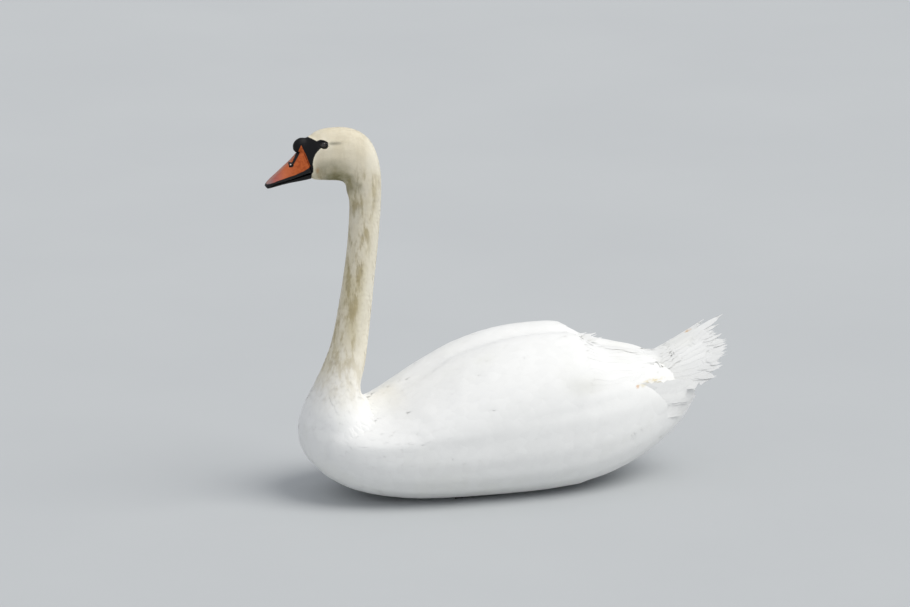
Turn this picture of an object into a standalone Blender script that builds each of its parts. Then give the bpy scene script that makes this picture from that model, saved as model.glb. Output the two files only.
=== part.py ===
"""Mute swan, life size, floating pose, resting on its belly with the feet tucked under.

Run in Blender 4.5. Metres, +Z up. The swan faces -Y, its left side is +X, and the floor is z = 0.
The origin is under the middle of the whole bird, at floor level.

The body is made of lofts: rings of points, each ring spanning an upper and a lower point of the side
profile and a half width. Heights in the tables are above the water line of the floating bird, which
lies DRAFT above the floor. Places along the body are from the tables' own Y zero, MIDDLE ahead of the
middle of the bird. world() turns both into the part's own frame.
"""

import math

import bmesh
import bpy
from mathutils import Vector

MM = 0.001
DRAFT = 88.0  # the belly's depth under the water line
MIDDLE = 7.0  # the place along the tables' Y that is the middle of the bird's length
GAP = 0.35  # clearance between neighbouring solids
RING_POINTS = 20

# Bill and face
KNOB_CENTRE = (0.0, -332.2, 525.5)
KNOB_RADII = (10.0, 12.6, 14.2)
KNOB_TILT = 38.0  # degrees, top leaning back
EYE_CENTRE = (15.1, -295.6, 528.0)
EYE_RADIUS = 7.0

# Tail fan
TAIL_FEATHERS = 16
TAIL_ROOT = (0.0, 215.0, 82.0)
TAIL_LENGTH = (216.0, 170.0)  # middle and outermost feather
TAIL_SPREAD = 29.0  # degrees of yaw of the outermost feather
TAIL_RISE = (27.2, 5.0)  # degrees of rise of the middle and outermost feather
TAIL_TIP_NOTCH = 13.0
TAIL_SEAT = 0.2  # the share of each feather's length, from its root, that the trunk covers

# Foot and shank
SHANK_LENGTH = 104.0
TOE_BASE = (44.0, 28.0, 0.0)
FOOT_COLUMNS = (  # yaw in degrees, length, height over the base: edge, toe, web, toe, web, toe, edge
    (-19.0, 84.0, 0.9),
    (-14.5, 104.0, 6.4),
    (-6.5, 92.0, 1.7),
    (1.0, 128.0, 7.2),
    (8.5, 98.0, 1.7),
    (16.0, 118.0, 6.4),
    (20.5, 92.0, 0.9),
)


# ---------------------------------------------------------------- tools

def clear_scene():
    for obj in list(bpy.data.objects):
        bpy.data.objects.remove(obj)


def make_collection(name):
    collection = bpy.data.collections.new(name)
    bpy.context.scene.collection.children.link(collection)
    return collection


def material(name, colour, roughness, metallic=0.0):
    made = bpy.data.materials.new(name)
    made.use_nodes = True
    shader = made.node_tree.nodes["Principled BSDF"]
    shader.inputs["Base Color"].default_value = (*colour, 1.0)
    shader.inputs["Roughness"].default_value = roughness
    shader.inputs["Metallic"].default_value = metallic
    return made


def catmull(a, b, c, d, t):
    """The value at t between b and c on a smooth curve through a, b, c and d."""
    return 0.5 * (
        2 * b + (c - a) * t + (2 * a - 5 * b + 4 * c - d) * t * t + (3 * b - a - 3 * c + d) * t ** 3
    )


def smooth_rows(rows, steps):
    """The rows of a table with steps - 1 more rows put smoothly between each two."""
    out = []
    for i in range(len(rows) - 1):
        before = rows[max(i - 1, 0)]
        after = rows[min(i + 2, len(rows) - 1)]
        for k in range(steps):
            t = k / steps
            out.append([catmull(*v, t) for v in zip(before, rows[i], rows[i + 1], after)])
    out.append(list(rows[-1]))
    return out


def along(table, x):
    """The row of a table, whose first column is the place, at place x."""
    if x <= table[0][0]:
        return list(table[0][1:])
    if x >= table[-1][0]:
        return list(table[-1][1:])
    i = max(k for k in range(len(table) - 1) if table[k][0] <= x)
    t = (x - table[i][0]) / (table[i + 1][0] - table[i][0])
    before = table[max(i - 1, 0)]
    after = table[min(i + 2, len(table) - 1)]
    rows = zip(before, table[i], table[i + 1], after)
    return [catmull(*v, t) for v in rows][1:]


def smoothstep(low, high, x):
    t = min(1.0, max(0.0, (x - low) / (high - low)))
    return t * t * (3 - 2 * t)


def power(x, exponent):
    return math.copysign(abs(x) ** exponent, x)


def world(x, y, z):
    """A point given in the tables' millimetres, its height above the water line."""
    return Vector((x * MM, (y - MIDDLE) * MM, (z + DRAFT) * MM))


def ring_between(upper, lower, half_width):
    """An oval ring in the plane of the X axis and the line from lower to upper, both (y, z)."""
    ring = []
    for i in range(RING_POINTS):
        angle = 2 * math.pi * i / RING_POINTS
        rise = (1 + math.cos(angle)) / 2
        place = [low + (high - low) * rise for high, low in zip(upper, lower)]
        ring.append(world(half_width * math.sin(angle), *place))
    return ring


def new_object(name, bm, finish, collection):
    bmesh.ops.recalc_face_normals(bm, faces=bm.faces)
    mesh = bpy.data.meshes.new(name)
    bm.to_mesh(mesh)
    bm.free()
    mesh.shade_smooth()
    mesh.set_sharp_from_angle(angle=math.radians(35))
    if finish:
        mesh.materials.append(finish)
    obj = bpy.data.objects.new(name, mesh)
    collection.objects.link(obj)
    return obj


def loft(name, rings, finish, collection):
    """A closed solid through rings of equal point counts."""
    bm = bmesh.new()
    loops = [[bm.verts.new(point) for point in ring] for ring in rings]
    count = len(rings[0])
    for a, b in zip(loops, loops[1:]):
        for i in range(count):
            j = (i + 1) % count
            bm.faces.new((a[i], a[j], b[j], b[i]))
    for loop in (loops[0], loops[-1]):
        middle = bm.verts.new(sum((v.co for v in loop), Vector()) / count)
        for i in range(count):
            bm.faces.new((loop[i], loop[(i + 1) % count], middle))
    return new_object(name, bm, finish, collection)


def grid_slab(name, outer, inner, finish, collection):
    """A closed slab between two grids of points of the same rows and columns."""
    bm = bmesh.new()
    top = [[bm.verts.new(p) for p in row] for row in outer]
    low = [[bm.verts.new(p) for p in row] for row in inner]
    rows, columns = len(outer), len(outer[0])
    for r in range(rows - 1):
        for c in range(columns - 1):
            for side in (top, low):
                bm.faces.new((side[r][c], side[r][c + 1], side[r + 1][c + 1], side[r + 1][c]))
    rim = [(0, c) for c in range(columns)] + [(r, columns - 1) for r in range(1, rows)]
    rim += [(rows - 1, c) for c in range(columns - 2, -1, -1)] + [(r, 0) for r in range(rows - 2, 0, -1)]
    for (r, c), (s, d) in zip(rim, rim[1:] + rim[:1]):
        bm.faces.new((top[r][c], top[s][d], low[s][d], low[r][c]))
    return new_object(name, bm, finish, collection)


def ellipsoid(name, centre, radii, tilt, finish, collection, segments=20):
    """An oval ball. tilt turns it about X, its top towards the tail."""
    bm = bmesh.new()
    bmesh.ops.create_uvsphere(bm, u_segments=segments, v_segments=segments // 2 + 2, radius=1.0)
    for vert in bm.verts:
        x, y, z = (vert.co[k] * radii[k] for k in range(3))
        turn = math.radians(-tilt)
        y, z = y * math.cos(turn) - z * math.sin(turn), y * math.sin(turn) + z * math.cos(turn)
        vert.co = world(centre[0] + x, centre[1] + y, centre[2] + z)
    return new_object(name, bm, finish, collection)


def make_triangles(mesh):
    bm = bmesh.new()
    bm.from_mesh(mesh)
    bmesh.ops.triangulate(bm, faces=bm.faces)
    bm.to_mesh(mesh)
    bm.free()


def grown(obj, amount, collection):
    """A copy of a solid with its surface moved out by amount, to cut a seat with clearance."""
    make_triangles(obj.data)
    copy = bpy.data.objects.new(obj.name + "_grown", obj.data.copy())
    bm = bmesh.new()
    bm.from_mesh(copy.data)
    bm.normal_update()
    moved = [(v, v.co + v.normal * amount * MM * v.calc_shell_factor()) for v in bm.verts]
    for vert, place in moved:
        vert.co = place
    bm.to_mesh(copy.data)
    bm.free()
    collection.objects.link(copy)
    return copy


def mirrored(obj, name, collection):
    """A copy of a solid on the other side of the bird."""
    bm = bmesh.new()
    bm.from_mesh(obj.data)
    for vert in bm.verts:
        vert.co.x = -vert.co.x
    bmesh.ops.reverse_faces(bm, faces=bm.faces)
    return new_object(name, bm, obj.data.materials[0], collection)


def boolean(obj, other, operation):
    """Cuts or joins obj with other, and applies the result. Both are made of triangles first, being flat."""
    make_triangles(obj.data)
    make_triangles(other.data)
    modifier = obj.modifiers.new(operation.lower(), "BOOLEAN")
    modifier.operation = operation
    modifier.solver = "EXACT"
    modifier.object = other
    bpy.context.view_layer.update()
    graph = bpy.context.evaluated_depsgraph_get()
    result = bpy.data.meshes.new_from_object(obj.evaluated_get(graph))
    obj.modifiers.remove(modifier)
    obj.data = result
    bm = bmesh.new()
    bm.from_mesh(result)
    bmesh.ops.remove_doubles(bm, verts=bm.verts, dist=0.004 * MM)
    bmesh.ops.dissolve_degenerate(bm, edges=bm.edges, dist=0.004 * MM)
    bm.to_mesh(result)
    bm.free()


def drop_trimmings(obj):
    """Removes the crumbs that a cut leaves loose, and keeps the one large body."""
    bm = bmesh.new()
    bm.from_mesh(obj.data)
    unseen, bodies = set(bm.verts), []
    while unseen:
        body, front = set(), [unseen.pop()]
        while front:
            vert = front.pop()
            body.add(vert)
            near = {edge.other_vert(vert) for edge in vert.link_edges} & unseen
            unseen -= near
            front += near
        bodies.append(body)
    largest = max(bodies, key=len)
    bmesh.ops.delete(bm, geom=[v for v in bm.verts if v not in largest], context="VERTS")
    bm.to_mesh(obj.data)
    bm.free()


def cut_by(obj, others, cutters):
    """Cuts a seat for each of the others in obj, with clearance."""
    for other in others:
        tool = grown(other, GAP, cutters)
        boolean(obj, tool, "DIFFERENCE")
        bpy.data.objects.remove(tool)
    drop_trimmings(obj)


def block(name, point, direction, reach, offset, collection):
    """A cube standing on the plane through point, (y, z), ahead of it along direction, (y, z)."""
    bm = bmesh.new()
    bmesh.ops.create_cube(bm, size=2.0 * reach * MM)
    ahead = Vector((0.0, *direction)).normalized()
    turn = ahead.to_track_quat("Z", "X").to_matrix()
    for vert in bm.verts:
        vert.co = turn @ vert.co + ahead * (reach + offset) * MM + world(0.0, *point)
    return new_object(name, bm, None, collection)


def part_at(obj, point, direction, reach, cutters):
    """Saws obj in two at a plane, with clearance. Returns the piece ahead of the plane and the rest."""
    ahead = bpy.data.objects.new("ahead", obj.data.copy())
    obj.users_collection[0].objects.link(ahead)
    for half, operation, offset in ((ahead, "INTERSECT", GAP / 2), (obj, "DIFFERENCE", -GAP / 2)):
        cutter = block("saw", point, direction, reach, offset, cutters)
        boolean(half, cutter, operation)
        bpy.data.objects.remove(cutter)
    return ahead, obj


def finished(obj, name, finish):
    """Gives a piece its own name and its one material."""
    obj.name = name
    obj.data.name = name
    obj.data.materials.clear()
    obj.data.materials.append(finish)


# ---------------------------------------------------------------- the body's own shape

# Place along the body, top of the wings' ridge, keel, half width, height of the widest line,
# how far the ridge lies out from the midline, depth of the hollow between the ridges.
BODY = (
    (-336.0, 28.0, 26.0, 4.0, 27.0, 0.0, 0.0),
    (-332.0, 52.0, -2.0, 36.0, 26.0, 0.0, 0.0),
    (-322.0, 68.0, -22.0, 60.0, 24.0, 0.0, 0.0),
    (-300.0, 79.0, -45.0, 87.0, 20.0, 0.0, 0.0),
    (-265.0, 80.0, -66.0, 111.0, 17.0, 0.0, 0.0),
    (-225.0, 81.0, -79.0, 129.0, 17.0, 0.0, 0.0),
    (-170.0, 104.0, -89.0, 143.0, 20.0, 12.0, 1.0),
    (-110.0, 134.0, -93.0, 151.0, 24.0, 36.0, 6.0),
    (-50.0, 160.0, -94.0, 154.0, 27.0, 44.0, 9.0),
    (10.0, 178.0, -94.0, 154.0, 30.0, 47.0, 12.0),
    (75.0, 185.0, -93.0, 151.0, 33.0, 47.0, 13.0),
    (135.0, 183.0, -88.0, 144.0, 37.0, 45.0, 13.0),
    (151.0, 164.0, -83.0, 140.0, 38.0, 42.0, 8.0),
    (168.0, 156.5, -80.0, 137.0, 41.0, 40.0, 6.0),
    (215.0, 145.5, -66.0, 121.0, 46.0, 34.0, 5.0),
    (255.0, 136.0, -49.0, 104.0, 53.0, 28.0, 4.0),
    (295.0, 122.0, -26.0, 80.0, 60.0, 20.0, 3.0),
    (325.0, 104.0, -4.0, 57.0, 62.0, 10.0, 1.0),
    (345.0, 93.0, 17.0, 38.0, 62.0, 4.0, 0.0),
    (358.0, 82.0, 38.0, 18.0, 62.0, 0.0, 0.0),
    (362.0, 66.0, 58.0, 4.0, 62.0, 0.0, 0.0),
)
# Place, height of the wing's lower edge.
WING_EDGE = (
    (-220.0, 52.0),
    (-150.0, 36.0),
    (-60.0, 37.0),
    (0.0, 58.0),
    (80.0, 72.0),
    (170.0, 83.0),
    (230.0, 91.0),
    (300.0, 106.0),
)
WING_BED = 2.5  # how far the trunk lies inside the outline under the wings, before their seats are cut
WING_THICK = 11.0
WING_FRONT = (-75.0, -172.0, -198.0, -150.0)  # where the wing starts, from its top to its lower edge
WING_REAR = (244.0, 280.0, 288.0, 262.0)  # where its feather tips end, in the same order
WING_TIPS = 6  # feather tips along its rear end
WING_TIP_NOTCH = 9.0
FULL_LOW = 0.74  # how boxy the section is under the widest line: 1 is an oval
FULL_SIDE = (  # place, and how boxy it is above the line: 1 is an oval, 2 falls off like a roof
    (-336.0, 0.9),
    (-300.0, 1.2),
    (-250.0, 1.85),
    (-190.0, 2.0),
    (-163.0, 1.5),
    (-142.0, 1.27),
    (-110.0, 1.1),
    (-78.0, 0.93),
    (-50.0, 0.86),
    (362.0, 0.86),
)


def body_point(y, angle):
    """(x, z) of the outline's section at y. angle runs from -90 at the keel to 90 on the midline above."""
    top, keel, width, waist, ridge_out, hollow = along(BODY, y)
    rad = math.radians(angle)
    if angle <= 0:
        return width * power(math.cos(rad), FULL_LOW), waist + (waist - keel) * power(math.sin(rad), FULL_LOW)
    side = width * power(math.cos(rad), along(FULL_SIDE, y)[0])
    height = waist + (top - waist) * math.sin(rad)
    if ridge_out > 0 and side < 2 * ridge_out:
        height -= hollow * (1 - smoothstep(0.0, ridge_out, side))
    return side, height


def wing_angle(y):
    """The angle of the section at which the wing's lower edge lies."""
    edge = along(WING_EDGE, y)[0]
    low, high = 0.0, 90.0
    for _ in range(24):
        middle = (low + high) / 2
        if body_point(y, middle)[1] < edge:
            low = middle
        else:
            high = middle
    return low


def inset_point(y, angle, depth):
    """The section's point moved in, square to the outline, by depth."""
    step = 1.5
    x0, z0 = body_point(y, max(angle - step, -90.0))
    x1, z1 = body_point(y, min(angle + step, 89.5))
    length = math.hypot(x1 - x0, z1 - z0) or 1.0
    x, z = body_point(y, angle)
    return max(x - (z1 - z0) / length * depth, 0.0), z + (x1 - x0) / length * depth


def trunk_rings():
    """The trunk's sections, a little inside the outline where the wings cover them."""
    stations = smooth_rows([[row[0]] for row in BODY], 2)
    rings = []
    half = RING_POINTS // 2 + 1
    for (y,) in stations:
        right = []
        edge = wing_angle(y)
        under_wing = smoothstep(-215.0, -150.0, y) * (1 - smoothstep(300.0, 345.0, y))
        for i in range(half + 1):
            angle = -90.0 + 180.0 * i / half
            depth = WING_BED * under_wing * smoothstep(edge - 2.0, edge + 9.0, angle)
            right.append(inset_point(y, angle, depth) if depth > 0 else body_point(y, angle))
        points = [world(x, y, max(z, -DRAFT)) for x, z in right]
        points[0].x = points[-1].x = 0.0
        points += [Vector((-p.x, p.y, p.z)) for p in reversed(points[1:-1])]
        rings.append(points)
    return rings


def value_through(values, t):
    """A smooth value at t, 0 to 1, through four equally spaced values."""
    table = [[i / (len(values) - 1), v] for i, v in enumerate(values)]
    return along(table, t)[0]


def wing_grid(depth_of):
    """Rows from front to rear, columns from the top of the back to the lower edge."""
    columns, rows = 2 * WING_TIPS + 1, 10
    grid = []
    for r in range(rows):
        s = r / (rows - 1)
        line = []
        for c in range(columns):
            t = c / (columns - 1)
            notch = WING_TIP_NOTCH if c % 2 == 0 and 0 < c < columns - 1 else 0.0
            front = value_through(WING_FRONT, t)
            rear = value_through(WING_REAR, t) - notch
            y = front + (rear - front) * s
            low, high = wing_angle(y), 86.0
            angle = high + (low - high) * t
            x, z = inset_point(y, angle, depth_of(s, t))
            line.append(world(max(x, 1.2), y, z))
        grid.append(line)
    return grid


def wing_depth(s, t):
    """The wing's thickness: full over the arm, thin at its rim."""
    rim = min(s * 6.0 + 0.16, 1.0, (1 - s) * 5.0 + 0.16, (1 - t) * 5.0 + 0.22, t * 9.0 + 0.45)
    return WING_THICK * rim


# ---------------------------------------------------------------- head and neck

# Upper and lower point of each ring, as (y, z), and the half width: bill base, lores, brow, crown,
# nape, then down the neck into the breast.
HEAD_NECK = (
    (-331.5, 527.0, -316.0, 468.0, 15.0),
    (-321.0, 537.5, -306.5, 465.0, 18.5),
    (-307.0, 547.8, -298.0, 464.0, 22.5),
    (-291.0, 552.6, -286.5, 463.0, 25.5),
    (-271.0, 553.6, -273.5, 462.0, 28.0),
    (-251.0, 552.0, -263.0, 460.0, 29.0),
    (-231.0, 544.5, -256.5, 456.5, 29.5),
    (-214.0, 530.5, -252.5, 451.0, 29.0),
    (-202.5, 510.0, -250.0, 444.0, 28.5),
    (-195.5, 483.0, -248.5, 435.0, 27.5),
    (-193.0, 452.0, -248.0, 424.0, 26.5),
    (-194.5, 408.0, -248.0, 401.0, 25.5),
    (-200.0, 342.0, -252.5, 342.0, 25.0),
    (-207.0, 278.0, -261.0, 280.0, 26.0),
    (-213.5, 216.0, -272.0, 218.0, 29.0),
    (-219.0, 168.0, -283.0, 170.0, 34.0),
    (-224.5, 132.0, -299.5, 128.0, 44.0),
    (-229.0, 98.0, -317.0, 88.0, 64.0),
    (-222.0, 74.0, -328.5, 62.0, 80.0),
    (-205.0, 58.0, -333.5, 36.0, 88.0),
    (-180.0, 40.0, -330.0, 8.0, 84.0),
)
NECK_CUTS = (  # the saw cuts: a point (y, z), the direction the cut faces, and its reach
    ((-222.0, 436.0), (-0.30, 1.0), 200.0),
    ((-240.0, 262.0), (-0.12, 1.0), 170.0),
    ((-270.0, 96.0), (-0.10, 1.0), 92.0),
)
NAIL_CUT = ((-383.0, 466.0), (-0.9, -0.42), 40.0)

# The bill's halves from base to tip. Upper: culmen point, cutting edge point, half width.
# Lower: cutting edge point, lowest point, half width.
BILL_UPPER = (
    (-331.0, 521.0, -316.0, 479.0, 15.5),
    (-341.0, 512.0, -325.0, 477.5, 15.5),
    (-349.5, 502.0, -336.0, 474.5, 15.5),
    (-360.5, 492.0, -349.0, 471.0, 15.5),
    (-373.0, 480.0, -364.5, 468.0, 16.5),
    (-383.5, 470.5, -377.5, 465.5, 16.0),
    (-390.0, 464.5, -386.0, 460.5, 12.0),
    (-393.0, 461.0, -391.0, 457.0, 6.0),
)
BILL_LOWER = (
    (-316.0, 478.5, -316.0, 468.2, 14.5),
    (-335.0, 474.0, -334.5, 465.4, 14.0),
    (-350.0, 470.0, -350.5, 463.7, 14.0),
    (-365.0, 467.0, -366.0, 461.2, 14.5),
    (-377.5, 464.5, -378.0, 458.2, 13.5),
    (-385.0, 461.0, -385.5, 456.2, 10.5),
    (-389.5, 457.5, -389.5, 455.0, 4.0),
)


def arch_ring(crown, brim, half_width, points):
    """A ring widest near its brim and arched towards its crown, both (y, z): half a bill."""
    ring = []
    for i in range(points):
        angle = 2 * math.pi * i / points
        height = math.cos(angle)
        rise = 0.14 + 0.86 * height if height > 0 else 0.14 * (1 + power(height, 0.6))
        side = half_width * power(math.sin(angle), 0.72)
        place = [b + (c - b) * rise for c, b in zip(crown, brim)]
        ring.append(world(side, *place))
    return ring


def bill_rings(table, steps, arched_up, points=16):
    rings = []
    for a, b, c, d, w in smooth_rows([list(row) for row in table], steps):
        crown, brim = ((a, b), (c, d)) if arched_up else ((c, d), (a, b))
        rings.append(arch_ring(crown, brim, w, points))
    return rings


def neck_rings():
    rows = smooth_rows([list(row) for row in HEAD_NECK], 2)
    return [ring_between((a, b), (c, d), w) for a, b, c, d, w in rows]


# ---------------------------------------------------------------- tail and feet

def tail_axis(u):
    """(root, direction, length) of the fan at u, -1 to 1 across it, in millimetres."""
    rise = math.radians(TAIL_RISE[0] - (TAIL_RISE[0] - TAIL_RISE[1]) * abs(u) ** 3.4)
    yaw = math.radians(TAIL_SPREAD * u)
    direction = Vector((math.sin(yaw) * math.cos(rise), math.cos(yaw) * math.cos(rise), math.sin(rise)))
    root = Vector(TAIL_ROOT) + Vector((16.0 * u, 0.0, -7.0 * u * u))
    length = TAIL_LENGTH[0] + (TAIL_LENGTH[1] - TAIL_LENGTH[0]) * abs(u) ** 1.8
    return root, direction, length


def tail_grid(sign):
    """The fan's upper surface for sign 1 and its lower one for sign -1, notched between feather tips."""
    columns, rows = 2 * TAIL_FEATHERS + 1, 5
    grid = []
    for r in range(rows):
        v = TAIL_SEAT + (1 - TAIL_SEAT) * r / (rows - 1)
        line = []
        for c in range(columns):
            u = -1.0 + 2.0 * c / (columns - 1)
            root, direction, length = tail_axis(u)
            notch = TAIL_TIP_NOTCH * v ** 4 if c % 2 == 0 else 0.0
            yaw = math.radians(TAIL_SPREAD * u)
            side = Vector((math.cos(yaw), -math.sin(yaw), 0.0))
            up = side.cross(direction).normalized()
            place = root + direction * (length * v - notch) + up * sign * tail_half_thickness(v, u)
            line.append(world(*place))
        grid.append(line)
    return grid


def tail_half_thickness(v, u):
    """Thick with coverts near its root, a vane's thickness at the tips."""
    return 0.9 + 15.0 * (1 - v) ** 1.6 * (1 - 0.6 * u * u)


def foot_grid(top):
    """The webbed foot laid on the floor: three toes as ridges, the web between them, from heel to claws."""
    grid = []
    for s in (0.0, 0.08, 0.3, 0.55, 0.8, 0.94, 1.0):
        line = []
        for yaw, length, height in FOOT_COLUMNS:
            turn = math.radians(yaw)
            reach = 4.0 + (length - 4.0) * s
            x = TOE_BASE[0] + math.sin(turn) * reach + 0.34 * yaw * (1 - s) ** 2
            y = TOE_BASE[1] - math.cos(turn) * reach
            z = 1.0 + height * (1.3 - 0.9 * s) if top else (0.5 if height < 2 else 0.0)
            line.append(world(x, y, z - DRAFT))
        grid.append(line)
    return grid


def make_leg(finish, collection):
    """A foot and its shank as one solid, the shank lying back along the belly."""
    leg = grid_slab("leg_left", foot_grid(True), foot_grid(False), finish, collection)
    rings = []
    for s, radius in ((-0.05, 3.2), (0.03, 5.0), (0.3, 5.4), (0.8, 6.4), (1.0, 8.2), (1.05, 5.0)):
        x, y, z = Vector(TOE_BASE) + Vector((-4.0 * s, SHANK_LENGTH * s, 5.8 + 8.0 * s - DRAFT))
        angles = [2 * math.pi * i / 8 for i in range(8)]
        rings.append([world(x + math.cos(a) * radius, y, z + math.sin(a) * radius) for a in angles])
    shank = loft("shank", rings, finish, collection)
    boolean(leg, shank, "UNION")
    bpy.data.objects.remove(shank)
    return leg


def pocket(foot, collection):
    """The hollow in the belly's plumage that a foot lies in: the hull round it."""
    bm = bmesh.new()
    for vert in foot.data.vertices:
        bm.verts.new(vert.co)
    made = bmesh.ops.convex_hull(bm, input=bm.verts)
    spare = {v for v in made["geom_interior"] + made["geom_unused"] if isinstance(v, bmesh.types.BMVert)}
    bmesh.ops.delete(bm, geom=list(spare), context="VERTS")
    return new_object("pocket", bm, None, collection)


# ---------------------------------------------------------------- assembly

def build():
    clear_scene()
    swan = make_collection("mute_swan")
    cutters = make_collection("cutters")
    cutters.hide_render = True

    plumage = material("white_plumage", (0.86, 0.86, 0.84), 0.8)
    stained = material("stained_plumage", (0.72, 0.68, 0.55), 0.85)
    orange = material("orange_bill", (0.78, 0.20, 0.05), 0.45)
    black = material("black_skin", (0.012, 0.012, 0.014), 0.5)
    eye_gloss = material("dark_eye", (0.02, 0.012, 0.008), 0.08)
    leg_skin = material("grey_leg_skin", (0.05, 0.05, 0.05), 0.6)

    # The small parts are made first, because the flesh is cut to seat them.
    bill_upper = loft("bill_upper", bill_rings(BILL_UPPER, 2, True), orange, swan)
    bill_lower = loft("bill_lower", bill_rings(BILL_LOWER, 1, False), black, swan)
    knob = ellipsoid("bill_knob", KNOB_CENTRE, KNOB_RADII, KNOB_TILT, black, swan, 12)
    eye_left = ellipsoid("eye_left", EYE_CENTRE, (EYE_RADIUS,) * 3, 0.0, eye_gloss, swan, 10)
    eye_right = mirrored(eye_left, "eye_right", swan)
    leg_left = make_leg(leg_skin, swan)
    leg_right = mirrored(leg_left, "leg_right", swan)
    wing_left = grid_slab("wing_left", wing_grid(lambda s, t: 0.0), wing_grid(wing_depth), plumage, swan)
    wing_right = mirrored(wing_left, "wing_right", swan)
    tail = grid_slab("tail", tail_grid(1.0), tail_grid(-1.0), plumage, swan)

    # The knob sits on the bill, the nail caps its tip, and the lower bill closes under it.
    cut_by(bill_upper, [bill_lower, knob], cutters)
    bill_nail, bill_upper = part_at(bill_upper, *NAIL_CUT, cutters)
    finished(bill_nail, "bill_nail", black)
    finished(bill_upper, "bill_upper", orange)

    # Trunk, neck and head are lofted as one, seated, and parted with thin cuts.
    trunk = loft("trunk_loft", trunk_rings(), plumage, swan)
    body = loft("body", neck_rings(), stained, swan)
    boolean(body, trunk, "UNION")
    bpy.data.objects.remove(trunk)
    head, body = part_at(body, *NECK_CUTS[0], cutters)
    neck_upper, body = part_at(body, *NECK_CUTS[1], cutters)
    neck_lower, body = part_at(body, *NECK_CUTS[2], cutters)
    cut_by(head, [bill_upper, bill_lower, knob, eye_left, eye_right], cutters)
    beds = [pocket(leg, cutters) for leg in (leg_left, leg_right)]
    cut_by(body, [wing_left, wing_right, tail, *beds], cutters)
    for bed in beds:
        bpy.data.objects.remove(bed)
    finished(head, "head", stained)
    finished(neck_upper, "neck_upper", stained)
    finished(neck_lower, "neck_lower", stained)
    finished(body, "trunk", plumage)
    cut_by(wing_left, [tail], cutters)
    cut_by(wing_right, [tail], cutters)


build()
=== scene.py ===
"""Still, life-size model of a mute swan resting on its belly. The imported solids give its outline; this
script dresses them: one skin, the plumage feather by feather, the horn bill, the naked black face, the
eyes with their lids, and the webbed feet."""
import math

import bmesh
import bpy
import numpy as np
from mathutils import Matrix, Vector
from mathutils.bvhtree import BVHTree
from mathutils.kdtree import KDTree


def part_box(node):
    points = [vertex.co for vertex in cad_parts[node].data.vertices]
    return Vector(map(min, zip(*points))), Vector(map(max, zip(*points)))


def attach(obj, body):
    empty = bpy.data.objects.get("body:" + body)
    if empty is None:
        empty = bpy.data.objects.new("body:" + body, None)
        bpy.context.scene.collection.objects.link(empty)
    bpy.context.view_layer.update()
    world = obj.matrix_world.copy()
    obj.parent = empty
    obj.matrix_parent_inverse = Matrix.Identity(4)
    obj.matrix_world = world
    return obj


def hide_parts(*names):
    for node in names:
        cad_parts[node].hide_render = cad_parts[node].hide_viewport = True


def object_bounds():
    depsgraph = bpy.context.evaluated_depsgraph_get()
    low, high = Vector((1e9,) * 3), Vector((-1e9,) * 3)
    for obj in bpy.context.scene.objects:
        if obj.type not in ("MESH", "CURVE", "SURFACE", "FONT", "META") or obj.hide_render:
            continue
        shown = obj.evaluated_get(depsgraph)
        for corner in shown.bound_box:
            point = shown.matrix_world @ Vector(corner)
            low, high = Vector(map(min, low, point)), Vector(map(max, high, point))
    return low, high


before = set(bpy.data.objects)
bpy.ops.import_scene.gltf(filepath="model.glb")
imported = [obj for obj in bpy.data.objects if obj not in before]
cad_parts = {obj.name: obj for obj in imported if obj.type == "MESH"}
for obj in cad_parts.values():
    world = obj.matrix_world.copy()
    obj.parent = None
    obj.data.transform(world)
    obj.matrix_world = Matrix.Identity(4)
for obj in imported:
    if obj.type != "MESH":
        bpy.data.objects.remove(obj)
cad_box = [list(corner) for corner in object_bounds()]
MM = 0.001

# ---------------------------------------------------------------- camera
# A long lens from the bird's left, a little above its head and a little in front of its shoulder, far
# enough away that near and far side are drawn at the same scale.
CAMERA_TURN, CAMERA_TILT = math.radians(75.0), math.radians(15.0)
CAMERA_AWAY = 8.94
VIEW_WIDTH = 1.547  # metres across the picture at the bird
SENSOR = 36.0
AIM_SIDE, AIM_UP = -0.0692, -0.0038  # the picture's middle, from the middle of the bird's box

camera = bpy.data.objects.new("camera", bpy.data.cameras.new("camera"))
bpy.context.scene.collection.objects.link(camera)
bpy.context.scene.camera = camera
across = Vector((math.cos(CAMERA_TURN), math.sin(CAMERA_TURN), 0.0))
towards = Vector((math.sin(CAMERA_TURN) * math.cos(CAMERA_TILT),
                  -math.cos(CAMERA_TURN) * math.cos(CAMERA_TILT), math.sin(CAMERA_TILT)))
upward = towards.cross(across)
middle = (Vector(cad_box[0]) + Vector(cad_box[1])) / 2
camera.data.sensor_width = SENSOR
camera.data.lens = SENSOR * CAMERA_AWAY / VIEW_WIDTH
camera.data.clip_end = 100.0
camera.matrix_world = Matrix.LocRotScale(
    middle + across * AIM_SIDE + upward * AIM_UP + towards * CAMERA_AWAY,
    Matrix((across, upward, towards)).transposed(), None)

# ---------------------------------------------------------------- floor and light
# A plain pale studio floor, and the light of an overcast day: an even light from all round, and one very
# wide soft lamp high behind the bird's left side, which leaves its breast in half shade.
FLOOR_COLOURS = ("#B9BCBE", "#C1C4C5")
FLOOR_RADIUS = 30.0
SKY_COLOUR, SKY_STRENGTH = "#F6F9FF", 0.60
LAMP_FROM, LAMP_STRENGTH, LAMP_WIDTH = (0.35, 0.45, 0.82), 1.95, 42.0  # its width in degrees
LAMP_COLOUR = "#FFFDF9"


def linear(colour):
    """An sRGB hex colour as linear red, green, blue and alpha."""
    shares = [int(colour[i:i + 2], 16) / 255 for i in (1, 3, 5)]
    return [v / 12.92 if v <= 0.04045 else ((v + 0.055) / 1.055) ** 2.4 for v in shares] + [1.0]


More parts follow.
